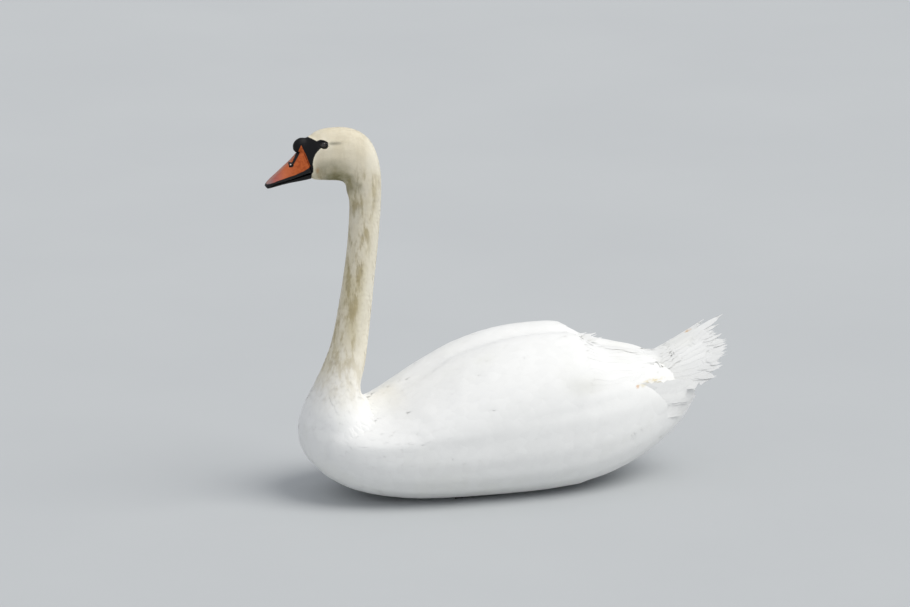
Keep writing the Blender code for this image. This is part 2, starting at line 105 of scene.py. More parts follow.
def add_node(tree, kind, inputs=None, **settings):
    """Adds one node, sets its properties, and sets or links its inputs."""
    made = tree.nodes.new(kind)
    for key, value in settings.items():
        setattr(made, key, value)
    for key, value in (inputs or {}).items():
        if isinstance(value, bpy.types.NodeSocket):
            tree.links.new(value, made.inputs[key])
        else:
            made.inputs[key].default_value = value
    return made


def new_material(name, **sockets):
    """A material by name, with constants on its shader's own sockets: (material, tree, shader)."""
    made = bpy.data.materials.new(name)
    made.use_nodes = True
    shader = made.node_tree.nodes["Principled BSDF"]
    for key, value in sockets.items():
        shader.inputs[key.replace("_", " ")].default_value = value
    return made, made.node_tree, shader


def over(tree, under, colour, *shares):
    """A colour laid over another by the product of those shares. Colours are hex or a node's output."""
    amount = shares[0]
    for share in shares[1:]:
        amount = add_node(tree, "ShaderNodeMath", {0: amount, 1: share}, operation="MULTIPLY").outputs[0]
    under, colour = (linear(c) if isinstance(c, str) else c for c in (under, colour))
    return add_node(tree, "ShaderNodeMix", {0: amount, 6: under, 7: colour}, data_type="RGBA").outputs[2]


def grained(name, colours, scale, detail=None, relief=None, **sockets):
    """A material of two colours in grains about 1000 / scale mm across, or in cells where no detail is
    given. relief is the strength and depth of that grain: (material, tree, shader, tint, grain)."""
    made, tree, shader = new_material(name, **sockets)
    place = add_node(tree, "ShaderNodeTexCoord").outputs["Object"]
    if detail:
        grain = add_node(tree, "ShaderNodeTexNoise", {"Vector": place, "Scale": scale, "Detail": detail})
    else:
        grain = add_node(tree, "ShaderNodeTexVoronoi", {"Vector": place, "Scale": scale})
    grain = grain.outputs["Fac" if detail else "Distance"]
    tint = over(tree, colours[0], colours[1], grain)
    tree.links.new(tint, shader.inputs["Base Color"])
    if relief:
        strength, depth = relief
        bump = add_node(tree, "ShaderNodeBump", {"Height": grain, "Strength": strength, "Distance": depth})
        tree.links.new(bump.outputs[0], shader.inputs["Normal"])
    return made, tree, shader, tint, grain


def as_object(name, made):
    """Makes a finished bmesh an object in the scene, smoothly shaded."""
    for face in made.faces:
        face.smooth = True
    piece = bpy.data.objects.new(name, bpy.data.meshes.new(name))
    made.to_mesh(piece.data)
    made.free()
    bpy.context.scene.collection.objects.link(piece)
    return piece


disc = bmesh.new()
bmesh.ops.create_circle(disc, cap_ends=True, segments=64, radius=FLOOR_RADIUS)
floor = as_object("floor", disc)
floor.data.materials.append(grained("matt_floor_paint", FLOOR_COLOURS, 1.6, 4.0, Roughness=0.85)[0])

world = bpy.data.worlds.new("overcast")
world.use_nodes = True
world.node_tree.nodes["Background"].inputs["Color"].default_value = linear(SKY_COLOUR)
world.node_tree.nodes["Background"].inputs["Strength"].default_value = SKY_STRENGTH
bpy.context.scene.world = world
lamp = bpy.data.objects.new("wide_lamp", bpy.data.lights.new("wide_lamp", "SUN"))
lamp.data.energy, lamp.data.angle = LAMP_STRENGTH, math.radians(LAMP_WIDTH)
lamp.data.color = linear(LAMP_COLOUR)[:3]
lamp.location = Vector(LAMP_FROM) * 4
lamp.rotation_euler = Vector(LAMP_FROM).to_track_quat("Z", "Y").to_euler()
bpy.context.scene.collection.objects.link(lamp)
bpy.context.scene.view_settings.view_transform = "Standard"

# ---------------------------------------------------------------- skin
# One hide over head, neck, trunk and wings, a coat's depth inside the outline. It is feathered all
# over but for the face, where it is naked, black and finely wrinkled from the knob to the eye.
FLESH = ("head", "bill_knob", "neck_upper", "neck_lower", "trunk", "wing_left", "wing_right")
SKIN_CELL, SKIN_ROUNDS, BODY_ROUNDS = 2.9 * MM, 5, 22
SWELL = 0.25 * MM  # closes the saw cuts between the solids
# The line that the plumage lies along, as (y, z) in mm: bill, head, nape, down the neck, breast, tail.
SPINE = ((-345, 585), (-300, 592), (-262, 590), (-238, 574), (-227, 545), (-226, 500), (-232, 430),
         (-246, 350), (-262, 270), (-272, 205), (-268, 160), (-235, 125), (-160, 110), (0, 112),
         (160, 120), (280, 145), (338, 172), (372, 240))
# Coat depth in mm by the distance in mm along that line.
COAT = ((0, 0.9), (83, 1.3), (144, 1.7), (189, 1.9), (340, 2.1), (450, 2.3), (533, 2.5), (658, 2.8),
        (1170, 3.0))
# Outline of the naked face seen from the side, (y, z) in mm: up behind the gape, round the eye, forward
# under the brow to the knob, and round in front of the bill's base.
NAKED_FACE = (
    (-328, 554), (-323.5, 564), (-320.5, 570), (-321, 578), (-322, 584), (-321.5, 590.5), (-320, 596.5),
    (-317.5, 602), (-314.5, 606), (-311, 609.8), (-308.3, 611.9), (-304.3, 611.6), (-300, 613.4),
    (-297.6, 616.8), (-296.3, 620.6), (-298.5, 622.2), (-302.3, 624), (-307.7, 625), (-310.6, 624.5),
    (-314.3, 622.8), (-318.5, 624.8), (-321.6, 626.4), (-325.5, 627.3), (-331, 629.5), (-338, 636),
    (-360, 636), (-360, 546), (-330, 546))
# Outline of the orange horn, seen so: from its point beside the knob down the bill's base, along the
# cutting edge to the tip, and back over the bill's ridge.
ORANGE_HORN = (
    (-339.5, 616), (-332.6, 600), (-325.8, 581), (-326.2, 579), (-334.3, 574), (-350.6, 567.5),
    (-367, 563), (-383.5, 558.3), (-394, 553.5), (-404, 549), (-404, 602), (-344.5, 602), (-342.8, 610))
NOSTRIL_GROOVE = ((-343.5, 603.0), (-348.3, 595.0), (-353.5, 587.0), (-359.5, 581.2))
NOSTRIL, NOSTRIL_RIM = (-357.2, 583.6), 2.0  # (y, z) and how much wider the black is round it, mm
FACE_ZONE = (-272.0, 540.0)  # finer skin ahead of this y and above this z, mm
HEAD_FOOT = 0.54  # the head's lowest z, metres
NECK_CORNER = (-0.247, 0.186)  # where the neck rises sharply from the back, (y, z) in metres
THIN_SHARE = 0.38  # how much of a thin part the coat takes at most
EVEN_BELOW, EVEN_ABOVE = (0.26, 0.34), (0.004, 0.02)  # z between which evening sets in, from above and below
CORNER_DEPTH, THROAT_DEPTH = 4.5 * MM, 2.8 * MM
HOLLOW_DEPTH, BROW_HEIGHT, SADDLE_DEPTH = 5.5 * MM, 0.9 * MM, 1.0 * MM
EYE = sum(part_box("eye_left"), Vector()) / 2
EYE_RADIUS = (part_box("eye_left")[1].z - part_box("eye_left")[0].z) / 2


def smooth(low, high, value):
    """0 below low, 1 above high, and an even rise between them."""
    t = np.clip((np.asarray(value, float) - low) / (high - low), 0.0, 1.0)
    return t * t * (3 - 2 * t)


def unit(rows):
    """Each row, or a single one, at length 1."""
    return rows / np.maximum(np.linalg.norm(rows, axis=-1, keepdims=True), 1e-12)


def table(pairs, place):
    """The value of a table of pairs at each place."""
    steps = np.array(pairs, float)
    return np.interp(place, steps[:, 0], steps[:, 1])


def coat_depth(reach):
    """How deep in metres the coat is, that far along the spine."""
    return table(COAT, reach) * MM


def mound(co, **centres):
    """1 in the middle of a soft round mound and 0 well away; its middle and width in metres by axis."""
    away = sum(((co[:, "xyz".index(k)] - middle) / width) ** 2 for k, (middle, width) in centres.items())
    return np.exp(-away)


def fused(name, nodes, swell, cell, rounds, cutter=None):
    """The CAD nodes fused into one closed mesh of cells of that size, less the cutter, its facets
    smoothed away."""
    made = bmesh.new()
    for node in nodes:
        made.from_mesh(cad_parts[node].data)
    bmesh.ops.remove_doubles(made, verts=made.verts, dist=0.01 * MM)
    made.normal_update()
    for v in made.verts:
        v.co += v.normal * swell
    obj = as_object(name, made)
    cells = obj.modifiers.new("cells", "REMESH")
    cells.mode, cells.voxel_size = "VOXEL", cell
    if cutter:
        cut = obj.modifiers.new("cut", "BOOLEAN")
        cut.operation, cut.solver, cut.object = "DIFFERENCE", "EXACT", cutter
    even = obj.modifiers.new("even", "SMOOTH")
    even.factor, even.iterations = 0.5, rounds
    done = bpy.data.meshes.new_from_object(obj.evaluated_get(bpy.context.evaluated_depsgraph_get()))
    obj.modifiers.clear()
    obj.data = done
    return obj


def even_out(mesh, rounds):
    """Evens out the steps between the solids on the body, below the neck, but for the neck's corner."""
    co, _ = points_of(mesh)
    pairs = np.array([e.vertices[:] for e in mesh.edges])
    ends, others = pairs.ravel(), pairs[:, ::-1].ravel()
    degree = np.bincount(ends, minlength=len(co))[:, None]
    share = 0.5 * (1 - smooth(*EVEN_BELOW, co[:, 2:])) * smooth(*EVEN_ABOVE, co[:, 2:])
    corner = mound(co, y=(NECK_CORNER[0], 0.022), z=(NECK_CORNER[1], 0.026))
    share *= (1 - corner * (1 - smooth(0.036, 0.056, np.abs(co[:, 0]))))[:, None]
    for _ in range(rounds):
        near = np.stack([np.bincount(ends, co[others, k], len(co)) for k in range(3)], axis=1) / degree
        co += (near - co) * share
    mesh.vertices.foreach_set("co", co.ravel())
    mesh.update()


def points_of(mesh):
    """A mesh's points and the normals there."""
    co, no = np.empty(len(mesh.vertices) * 3), np.empty(len(mesh.vertices) * 3)
    mesh.vertices.foreach_get("co", co)
    mesh.vertex_normals.foreach_get("vector", no)
    return co.reshape(-1, 3), no.reshape(-1, 3)


def line_distance(path, y, z):
    """Distance in mm from a line of (y, z) points in the side view."""
    nearest, py, pz = np.full(len(y), 1e9), y / MM, z / MM
    for (ay, az), (by, bz) in zip(path, path[1:]):
        dy, dz = by - ay, bz - az
        t = np.clip(((py - ay) * dy + (pz - az) * dz) / (dy * dy + dz * dz), 0, 1)
        nearest = np.minimum(nearest, np.hypot(py - ay - t * dy, pz - az - t * dz))
    return nearest


def side_distance(outline, y, z):
    """Distance in mm from a closed outline in the side view, negative inside it."""
    closed, inside = (*outline, outline[0]), np.zeros(len(y), bool)
    py, pz = y / MM, z / MM
    for (ay, az), (by, bz) in zip(closed, closed[1:]):
        if bz != az:
            inside ^= ((az > pz) != (bz > pz)) & (py < (by - ay) * (pz - az) / (bz - az) + ay)
    nearest = line_distance(closed, y, z)
    return np.where(inside, -nearest, nearest)


def spine_place(points):
    """For each point: its place along the spine in mm, its turn about it in radians, and the lie there."""
    ends = np.array([(0.0, y, z) for y, z in SPINE]) * MM
    start, step = ends[:-1], np.diff(ends, axis=0)
    length = np.linalg.norm(step, axis=1)
    before = np.concatenate(([0.0], np.cumsum(length)))[:-1]
    near, place, foot = np.full(len(points), 1e9), np.zeros(len(points)), np.zeros((len(points), 3))
    lie, nearest_lie = np.zeros((len(points), 3)), np.zeros((len(points), 3))
    for a, d, l, b in zip(start, step, length, before):
        t = np.clip((points - a) @ d / l ** 2, 0, 1)
        at = a + t[:, None] * d
        gap = np.linalg.norm(points - at, axis=1)
        lie += (d / l) * (gap[:, None] + 0.004) ** -5
        closer = gap < near
        near = np.where(closer, gap, near)
        place = np.where(closer, b + t * l, place)
        foot[closer], nearest_lie[closer] = at[closer], d / l
    out = points - foot
    turn = np.arctan2(out[:, 0], -(out * np.cross(nearest_lie, (1.0, 0, 0))).sum(1))
    return place / MM, turn, unit(lie)


def in_face_zone(v):
    """Whether a vertex lies where the skin is made finer."""
    return v.co.y < FACE_ZONE[0] * MM and v.co.z > FACE_ZONE[1] * MM


skin = fused("skin", FLESH, SWELL, SKIN_CELL, SKIN_ROUNDS)
even_out(skin.data, BODY_ROUNDS)
finer = bmesh.new()
finer.from_mesh(skin.data)
for _ in range(2):
    zone = [e for e in finer.edges if all(in_face_zone(v) for v in e.verts)]
    bmesh.ops.subdivide_edges(finer, edges=zone, cuts=1, use_grid_fill=True, smooth=0.6)
zone = [v for v in finer.verts if in_face_zone(v)]
for _ in range(4):
    bmesh.ops.smooth_vert(finer, verts=zone, factor=0.5, use_axis_x=True, use_axis_y=True, use_axis_z=True)
bmesh.ops.triangulate(finer, faces=finer.faces)
finer.to_mesh(skin.data)
finer.free()

outer_co, outer_no = points_of(skin.data)
reach, _, _ = spine_place(outer_co)
on_head = outer_co[:, 2] > HEAD_FOOT
naked = np.where(on_head, side_distance(NAKED_FACE, outer_co[:, 1], outer_co[:, 2]), 50.0)
outer_tree = BVHTree.FromPolygons(outer_co.tolist(), [tuple(p.vertices) for p in skin.data.polygons])
# how thick the bird is under each place of its body, so that thin parts keep some flesh
through = np.full(len(outer_co), 1.0)
for i in np.flatnonzero(outer_co[:, 2] < 0.3):
    hit = outer_tree.ray_cast(outer_co[i] - outer_no[i] * 0.0005, -outer_no[i], 0.05)
    through[i] = hit[3] if hit[0] else 1.0
depth = np.minimum(coat_depth(reach), THIN_SHARE * through)
depth = np.where(outer_no[:, 2] < -0.6, np.minimum(depth, 0.4 * outer_co[:, 2] + 0.0015), depth)
depth *= 0.12 + 0.88 * smooth(0.0, 5.0, naked)
# The eye's hollow: the skin falls in behind the ball, so that ball and lids close it.
eye_axis_gap = np.hypot(outer_co[:, 1] - EYE.y, outer_co[:, 2] - EYE.z)
depth += (1 - smooth(0.55 * EYE_RADIUS, 0.95 * EYE_RADIUS, eye_axis_gap)) * on_head * HOLLOW_DEPTH
# A low brow stands over the eye.
depth -= mound(outer_co, y=(EYE.y, 0.012), z=(EYE.z + 0.0095, 0.004)) * on_head * BROW_HEIGHT
# The forehead runs down on to the knob without a dip, and the throat meets the neck in a sharp bend.
saddle = mound(outer_co, x=(0.0, 0.008), y=(-0.3300, 0.0048)) * (outer_co[:, 2] > 0.618)
throat = mound(outer_co, y=(-0.256, 0.010), z=(0.530, 0.011)) * smooth(0.3, 0.8, -outer_no[:, 1])
depth -= throat * THROAT_DEPTH + saddle * SADDLE_DEPTH
# The corner where the neck rises from the back is sharp too.
corner = mound(outer_co, y=(NECK_CORNER[0] + 0.004, 0.020), z=(NECK_CORNER[1] + 0.006, 0.026))
depth += corner * (1 - smooth(0.030, 0.052, np.abs(outer_co[:, 0]))) * CORNER_DEPTH
skin_co = outer_co - outer_no * depth[:, None]
skin_co[:, 2] = np.maximum(skin_co[:, 2], 0.0)
skin.data.vertices.foreach_set("co", skin_co.ravel())
skin.data.update()
skin_co, skin_no = points_of(skin.data)
skin_tri = np.array([p.vertices[:] for p in skin.data.polygons])
skin_tree = BVHTree.FromPolygons(skin_co.tolist(), skin_tri.tolist())
skin.data.attributes.new("naked", "FLOAT", "POINT").data.foreach_set("value", naked)
print("skin", len(skin_tri), "triangles")


def markings(tree, tone=None):
    """The plumage's colour, the same on skin and feathers. White, but for a cream crown and neck with
    brown and olive streaks, paler towards the back partly by painted light from behind, a cheek and throat
    darkened by olive stain and painted shade, painted shade in a hollow of the wing, and a few stains on wing
    and tail."""
    place = add_node(tree, "ShaderNodeTexCoord").outputs["Object"]
    x, y, z = add_node(tree, "ShaderNodeSeparateXYZ", {0: place}).outputs
    lean = add_node(tree, "ShaderNodeMath", {0: z, 1: -0.1565, 2: y}, operation="MULTIPLY_ADD").outputs[0]
    sources = {"x": x, "y": y, "z": z, "lean": lean}  # lean is y, seen along the neck's slope
    # mottlings with grains about 1000 / scale mm across, drawn out along the neck
    for name, scale, stretch, detail in (
            ("streaks", 62.0, (1.25, 1.25, 0.34), 4.0), ("patches", 24.0, (1.0, 1.0, 0.6), 4.0),
            ("dusk", 70.0, (1.0, 1.0, 1.0), 4.0), ("bog", 120.0, (1.0, 1.0, 2.0), 4.0),
            ("soil", 9.0, (1.0, 1.0, 1.0), 3.0)):
        room = add_node(tree, "ShaderNodeMapping", {0: place, "Scale": stretch,
                                                    "Rotation": (math.radians(-10.0), 0.0, 0.0)})
        grain = add_node(tree, "ShaderNodeTexNoise", {"Vector": room.outputs[0], "Scale": scale,
                                                      "Detail": detail, "Roughness": 0.6})
        sources[name] = grain.outputs["Fac"]
    # how much of each shows: a source, where it starts and ends, and the share at either end
    share = {}
    for name, source, start, end, first, last in (
            ("above_breast", "z", 0.145, 0.31, 0.0, 1.0), ("front", "y", -0.165, -0.20, 0.0, 1.0),
            # fore_neck, hind_neck, crown and nape lighten the rear of neck and head: partly its own paler
            # colour, partly painted light from behind
            ("fore_neck", "y", -0.216, -0.190, 1.0, 0.35), ("below_head", "z", 0.55, 0.585, 1.0, 0.15),
            ("hind_neck", "lean", -0.306, -0.286, 0.0, 1.0), ("crown", "z", 0.545, 0.575, 0.0, 1.0),
            ("nape", "y", -0.240, -0.212, 0.0, 1.0), ("right_half", "x", -0.001, -0.007, 0.0, 1.0),
            ("streaks", "streaks", 0.45, 0.63, 0.0, 1.0), ("patches", "patches", 0.35, 0.7, 0.0, 1.0),
            ("dusk", "dusk", 0.3, 0.75, 0.55, 1.0), ("bog", "bog", 0.35, 0.62, 0.0, 1.0),
            ("soil", "soil", 0.5, 0.8, 0.0, 1.0)):
        shown = add_node(tree, "ShaderNodeMapRange", {"Value": sources[source], 1: start, 2: end,
                                                      3: first, 4: last}, interpolation_type="SMOOTHSTEP")
        share[name] = shown.outputs[0]
    colour = linear("#F4F4F2")
    # cream neck, straw patches, brown streaks thinning towards the back, and a paler hind neck and nape,
    # partly their own colour and partly painted light from behind
    for tint, amount, names in (
            ("#EEE5CE", 1.0, ("above_breast", "front")),
            ("#D8CDAB", 1.0, ("above_breast", "front", "below_head", "patches")),
            ("#B5A67C", 0.78, ("above_breast", "front", "streaks", "fore_neck", "below_head")),
            ("#F6F0DE", 0.8, ("above_breast", "front", "hind_neck")),
            ("#FBF5E3", 0.85, ("crown", "nape"))):
        colour = over(tree, colour, tint, amount, *(share[name] for name in names))
    # ovals in the side view, at (y, z), with their half length and height in metres and how far out from
    # the middle they are full: cheek and throat, an olive stain darkened with painted shade where they face
    # down, eye stripe, a tan fleck at the gape, then bog water along the edge of the wing's tip and in its
    # hollow, painted grey shade in a hollow of the wing, and a rusty touch on the tail
    for tint, at, half, full, amount, names in (
            # cheek and throat: olive stain, darkened further with painted shade where they face down
            ("#7F7950", (-0.290, 0.574), (0.040, 0.024), 0.35, 0.55, ("dusk",)),
            ("#7F7950", (-0.278, 0.557), (0.036, 0.016), 0.35, 1.0, ("dusk",)),
            ("#7F7950", (-0.255, 0.540), (0.024, 0.020), 0.35, 0.5, ("dusk",)),
            ("#6F6C58", (-0.2860, 0.6188), (0.0195, 0.0040), 0.0, 0.6, ()),
            ("#D08A3A", (-0.3135, 0.5725), (0.0045, 0.0085), 0.0, 0.5, ("dusk",)),
            ("#DCCB98", (0.256, 0.1862), (0.030, 0.0042), 0.1, 0.8, ("bog",)),
            ("#E3D9B8", (0.230, 0.1815), (0.014, 0.0046), 0.1, 0.7, ("bog",)),
            ("#D79A62", (0.2225, 0.1812), (0.0048, 0.0042), 0.35, 0.6, ("bog",)),
            # painted shade in a hollow of the wing
            ("#DCDCD5", (0.122, 0.196), (0.060, 0.026), 0.0, 0.5, ()),
            ("#D9A24C", (0.3455, 0.2432), (0.0090, 0.0085), 0.2, 0.8, ("bog", "right_half"))):
        oval = add_node(tree, "ShaderNodeMapping", {0: place, "Scale": (0.0, 1 / half[0], 1 / half[1]),
                                                    "Location": (0.0, -at[0] / half[0], -at[1] / half[1])})
        away = add_node(tree, "ShaderNodeVectorMath", {0: oval.outputs[0]}, operation="LENGTH")
        inside = add_node(tree, "ShaderNodeMapRange", {"Value": away.outputs["Value"], 1: full, 2: 1.0,
                                                       3: amount, 4: 0.0}, interpolation_type="SMOOTHSTEP")
        colour = over(tree, colour, tint, inside.outputs[0], *(share[name] for name in names))
    colour = over(tree, colour, "#ECECE4", share["soil"], 0.5)
    if tone:
        each = add_node(tree, "ShaderNodeAttribute", attribute_name=tone)
        shade = add_node(tree, "ShaderNodeMapRange", {"Value": each.outputs["Fac"], 3: 0.975, 4: 1.0},
                         interpolation_type="SMOOTHSTEP").outputs[0]
        grey = add_node(tree, "ShaderNodeCombineXYZ", {0: shade, 1: shade, 2: shade})
        colour = add_node(tree, "ShaderNodeMix", {0: 1.0, 6: colour, 7: grey.outputs[0]}, data_type="RGBA",
                          blend_type="MULTIPLY").outputs[2]
    return colour


def mark_horn(mesh):
    """Keeps on a mesh how far each point is from the orange horn's outline and from the nostril groove."""
    co, _ = points_of(mesh)
    orange = side_distance(ORANGE_HORN, co[:, 1], co[:, 2])
    groove = line_distance(NOSTRIL_GROOVE, co[:, 1], co[:, 2])
    around = np.hypot(co[:, 1] / MM - NOSTRIL[0], co[:, 2] / MM - NOSTRIL[1])
    groove = np.minimum(groove, around - NOSTRIL_RIM)
    mesh.attributes.new("orange", "FLOAT", "POINT").data.foreach_set("value", orange)
    mesh.attributes.new("groove", "FLOAT", "POINT").data.foreach_set("value", groove)


def horn_colour(tree, black):
    """The bill's colour over black: orange, turning to a greyish pink at the tip, a pinkish painted highlight
    along the ridge, mottled, and darkest orange at its base. Its borders wander by a few tenths of a
    millimetre."""
    place = add_node(tree, "ShaderNodeTexCoord").outputs["Object"]
    x, y, _ = add_node(tree, "ShaderNodeSeparateXYZ", {0: place}).outputs
    mottle = add_node(tree, "ShaderNodeTexNoise", {"Vector": place, "Scale": 240.0, "Detail": 4.0})
    mottle = mottle.outputs["Fac"]
    wander = add_node(tree, "ShaderNodeMath", {0: mottle, 1: -0.5}, operation="ADD").outputs[0]
    side = add_node(tree, "ShaderNodeMath", {0: x}, operation="ABSOLUTE").outputs[0]
    colour = linear("#BC5C27")
    # each tint over the last: what it goes by, where it starts and is full, how much, and how it rises
    for tint, source, start, full, amount, rise in (
            ("#A54A1B", mottle, 0.42, 0.66, 1.0, "SMOOTHSTEP"),
            ("#C0663E", y, -0.345, -0.372, 1.0, "SMOOTHSTEP"),
            ("#A9605A", y, -0.366, -0.386, 0.85, "SMOOTHSTEP"),
            ("#978080", y, -0.384, -0.397, 0.9, "SMOOTHSTEP"),
            # a pinkish painted highlight along the bill's ridge
            ("#B08070", side, 0.0058, 0.0022, 0.7, "LINEAR")):
        shown = add_node(tree, "ShaderNodeMapRange", {"Value": source, 1: start, 2: full, 4: amount},
                         interpolation_type=rise)
        colour = over(tree, colour, tint, shown.outputs[0])
    borders = []
    for name, start, full in (("orange", 0.35, -0.35), ("groove", 2.2, 1.5)):  # mm
        away = add_node(tree, "ShaderNodeAttribute", attribute_name=name).outputs["Fac"]
        about = add_node(tree, "ShaderNodeMath", {0: wander, 1: 1.1, 2: away}, operation="MULTIPLY_ADD")
        shown = add_node(tree, "ShaderNodeMapRange", {"Value": about.outputs[0], 1: start, 2: full},
                         interpolation_type="SMOOTHSTEP")
        borders.append(shown.outputs[0])
    return over(tree, over(tree, black, colour, borders[0]), black, borders[1])


mark_horn(skin.data)
hide, tree, shader, black, grain = grained("bird_skin", ("#060608", "#111115"), 900.0, 3.0, Roughness=0.6,
                                           Specular_IOR_Level=0.25)
bare = add_node(tree, "ShaderNodeAttribute", attribute_name="naked").outputs["Fac"]
wander = add_node(tree, "ShaderNodeMath", {0: grain, 1: -0.5}, operation="ADD").outputs[0]
edge = add_node(tree, "ShaderNodeMath", {0: wander, 1: 1.2, 2: bare}, operation="MULTIPLY_ADD").outputs[0]
is_bare = add_node(tree, "ShaderNodeMapRange", {"Value": edge, 1: -0.3, 2: 0.5, 3: 1.0, 4: 0.0}).outputs[0]
both = over(tree, markings(tree), horn_colour(tree, black), is_bare)
tree.links.new(both, shader.inputs["Base Color"])
coords = add_node(tree, "ShaderNodeTexCoord")
pores = add_node(tree, "ShaderNodeTexVoronoi", {"Vector": coords.outputs["Object"], "Scale": 1100.0})
relief = add_node(tree, "ShaderNodeBump", {"Height": pores.outputs["Distance"], "Strength": 0.35,
                                           "Distance": 0.25 * MM})
tree.links.new(relief.outputs[0], shader.inputs["Normal"])
skin.data.materials.append(hide)
skin.data.shade_smooth()
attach(skin, "root")
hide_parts(*FLESH)

# ---------------------------------------------------------------- bill
# The horn sheath of both halves of the bill, satin and faintly streaked along it. The upper half is orange
# with black cutting edges and a black nail at its tip. Its nostrils open in two sunk black grooves and
# meet behind a pale wet partition, whose pale colour is painted light standing in for the bright spot in
# the nostril.
BILL_CELL = 0.55 * MM
NOSTRIL_HALF = (3.8, 2.2)  # half its length and height, mm
NOSTRIL_SLOPE = 47.0  # degrees down towards the tip
GROOVE_DEPTH, NAIL_GROOVE = 0.9 * MM, 0.35 * MM
NAIL_EDGE, NAIL_CURVE = -390.5, 0.045  # the nail's rear edge, as y in mm and how it curves back
MEMBRANE_HALF = (8.8, 2.3, 2.5)  # mm


def oval_bar(name, radii, centre):
    """A long oval bar across the bill, radii along and across the nostril's line."""
    made = bmesh.new()
    bmesh.ops.create_cone(made, cap_ends=True, segments=24, radius1=1.0, radius2=1.0, depth=60 * MM)
    across_bill = Matrix.Rotation(math.radians(90), 3, "Y")
    bmesh.ops.rotate(made, verts=made.verts, cent=(0, 0, 0), matrix=across_bill)
    bmesh.ops.scale(made, verts=made.verts, vec=(1.0, radii[0] * MM, radii[1] * MM))
    downhill = Matrix.Rotation(math.radians(NOSTRIL_SLOPE), 3, "X")
    bmesh.ops.rotate(made, verts=made.verts, cent=(0, 0, 0), matrix=downhill)
    bmesh.ops.translate(made, verts=made.verts, vec=(0.0, centre[0] * MM, centre[1] * MM))
    bmesh.ops.triangulate(made, faces=made.faces)
    return as_object(name, made)


nostril_bar = oval_bar("nostril_bar", NOSTRIL_HALF, NOSTRIL)
upper_bill = fused("bill_upper_horn", ("bill_upper", "bill_nail"), 0.2 * MM, BILL_CELL, 4, nostril_bar)
bpy.data.objects.remove(nostril_bar)
lower_bill = fused("bill_lower_horn", ("bill_lower",), 0.05 * MM, BILL_CELL, 3)
co, no = points_of(upper_bill.data)
groove = line_distance(NOSTRIL_GROOVE, co[:, 1], co[:, 2])
co -= no * (GROOVE_DEPTH * (1 - smooth(0.6, 2.6, groove)) * smooth(0.002, 0.005, np.abs(co[:, 0])))[:, None]
# the nail's edge, a shallow curved step across the tip
nail_edge = co[:, 1] / MM - NAIL_EDGE - NAIL_CURVE * (co[:, 0] / MM) ** 2
co -= no * (NAIL_GROOVE * np.exp(-(nail_edge / 0.8) ** 2))[:, None]
upper_bill.data.vertices.foreach_set("co", co.ravel())
for piece, nodes in ((upper_bill, ("bill_upper", "bill_nail")), (lower_bill, ("bill_lower",))):
    mark_horn(piece.data)
    piece.data.shade_smooth()
    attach(piece, "root")
    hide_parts(*nodes)

horn, tree, shader, soot, _ = grained("bill_horn", ("#08080A", "#161618"), 700.0, 3.0, Roughness=0.48,
                                      Specular_IOR_Level=0.3)
tree.links.new(horn_colour(tree, soot), shader.inputs["Base Color"])
coords = add_node(tree, "ShaderNodeTexCoord")
drawn_out = add_node(tree, "ShaderNodeMapping", {0: coords.outputs["Object"], "Scale": (1.0, 0.22, 1.0),
                                                 "Rotation": (math.radians(-45.0), 0.0, 0.0)})
streak = add_node(tree, "ShaderNodeTexNoise", {"Vector": drawn_out.outputs[0], "Scale": 620.0,
                                               "Detail": 3.0})
relief = add_node(tree, "ShaderNodeBump", {"Height": streak.outputs["Fac"], "Strength": 0.4,
                                           "Distance": 0.3 * MM})
tree.links.new(relief.outputs[0], shader.inputs["Normal"])
black_horn = grained("black_horn", ("#060607", "#121112"), 500.0, 4.0, (0.4, 0.3 * MM), Roughness=0.5,
                     Specular_IOR_Level=0.22)[0]
upper_bill.data.materials.append(horn)
lower_bill.data.materials.append(black_horn)

# a pale glossy plug behind the nostrils; its pale colour is painted light, standing in for the bright spot in
# the nostril
wet = bmesh.new()
bmesh.ops.create_uvsphere(wet, u_segments=24, v_segments=16, radius=1.0)
bmesh.ops.scale(wet, verts=wet.verts, vec=[half * MM for half in MEMBRANE_HALF])
bmesh.ops.translate(wet, verts=wet.verts, vec=(0.0, (NOSTRIL[0] - 0.3) * MM, (NOSTRIL[1] - 0.3) * MM))
partition = as_object("nostril_painted_light", wet)
membrane = grained("pale_painted_light_membrane", ("#F1ECE6", "#DCCFC8"), 900.0, 3.0, Roughness=0.2)[0]
partition.data.materials.append(membrane)
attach(partition, "root")

# ---------------------------------------------------------------- eyes
# Eyeballs as deep in the head as real ones: a dark brown iris round a black pupil under a wet cornea. The
# lids are one thick black rim of skin round each, narrower at the back, that the ball shows through.
BALL_RADIUS = 6.4 * MM
GAZE = Vector((0.93, -0.25, 0.27)).normalized()  # of the left eye
IRIS, PUPIL = 4.3, 2.1  # radii, mm
LID_RIM = ((3.9, 5.1), (4.15, 5.75), (4.75, 6.0), (5.5, 5.8), (6.1, 5.2), (6.5, 4.3), (5.6, 3.6), (4.6, 4.3))
LID_SQUEEZE = 0.80  # height over length of the opening
LID_DROOP, LID_FORWARD = 0.45 * MM, 0.25 * MM  # of the upper lid's middle
CORNER_PULL = 1.0 * MM  # how far the eye's corners are drawn out

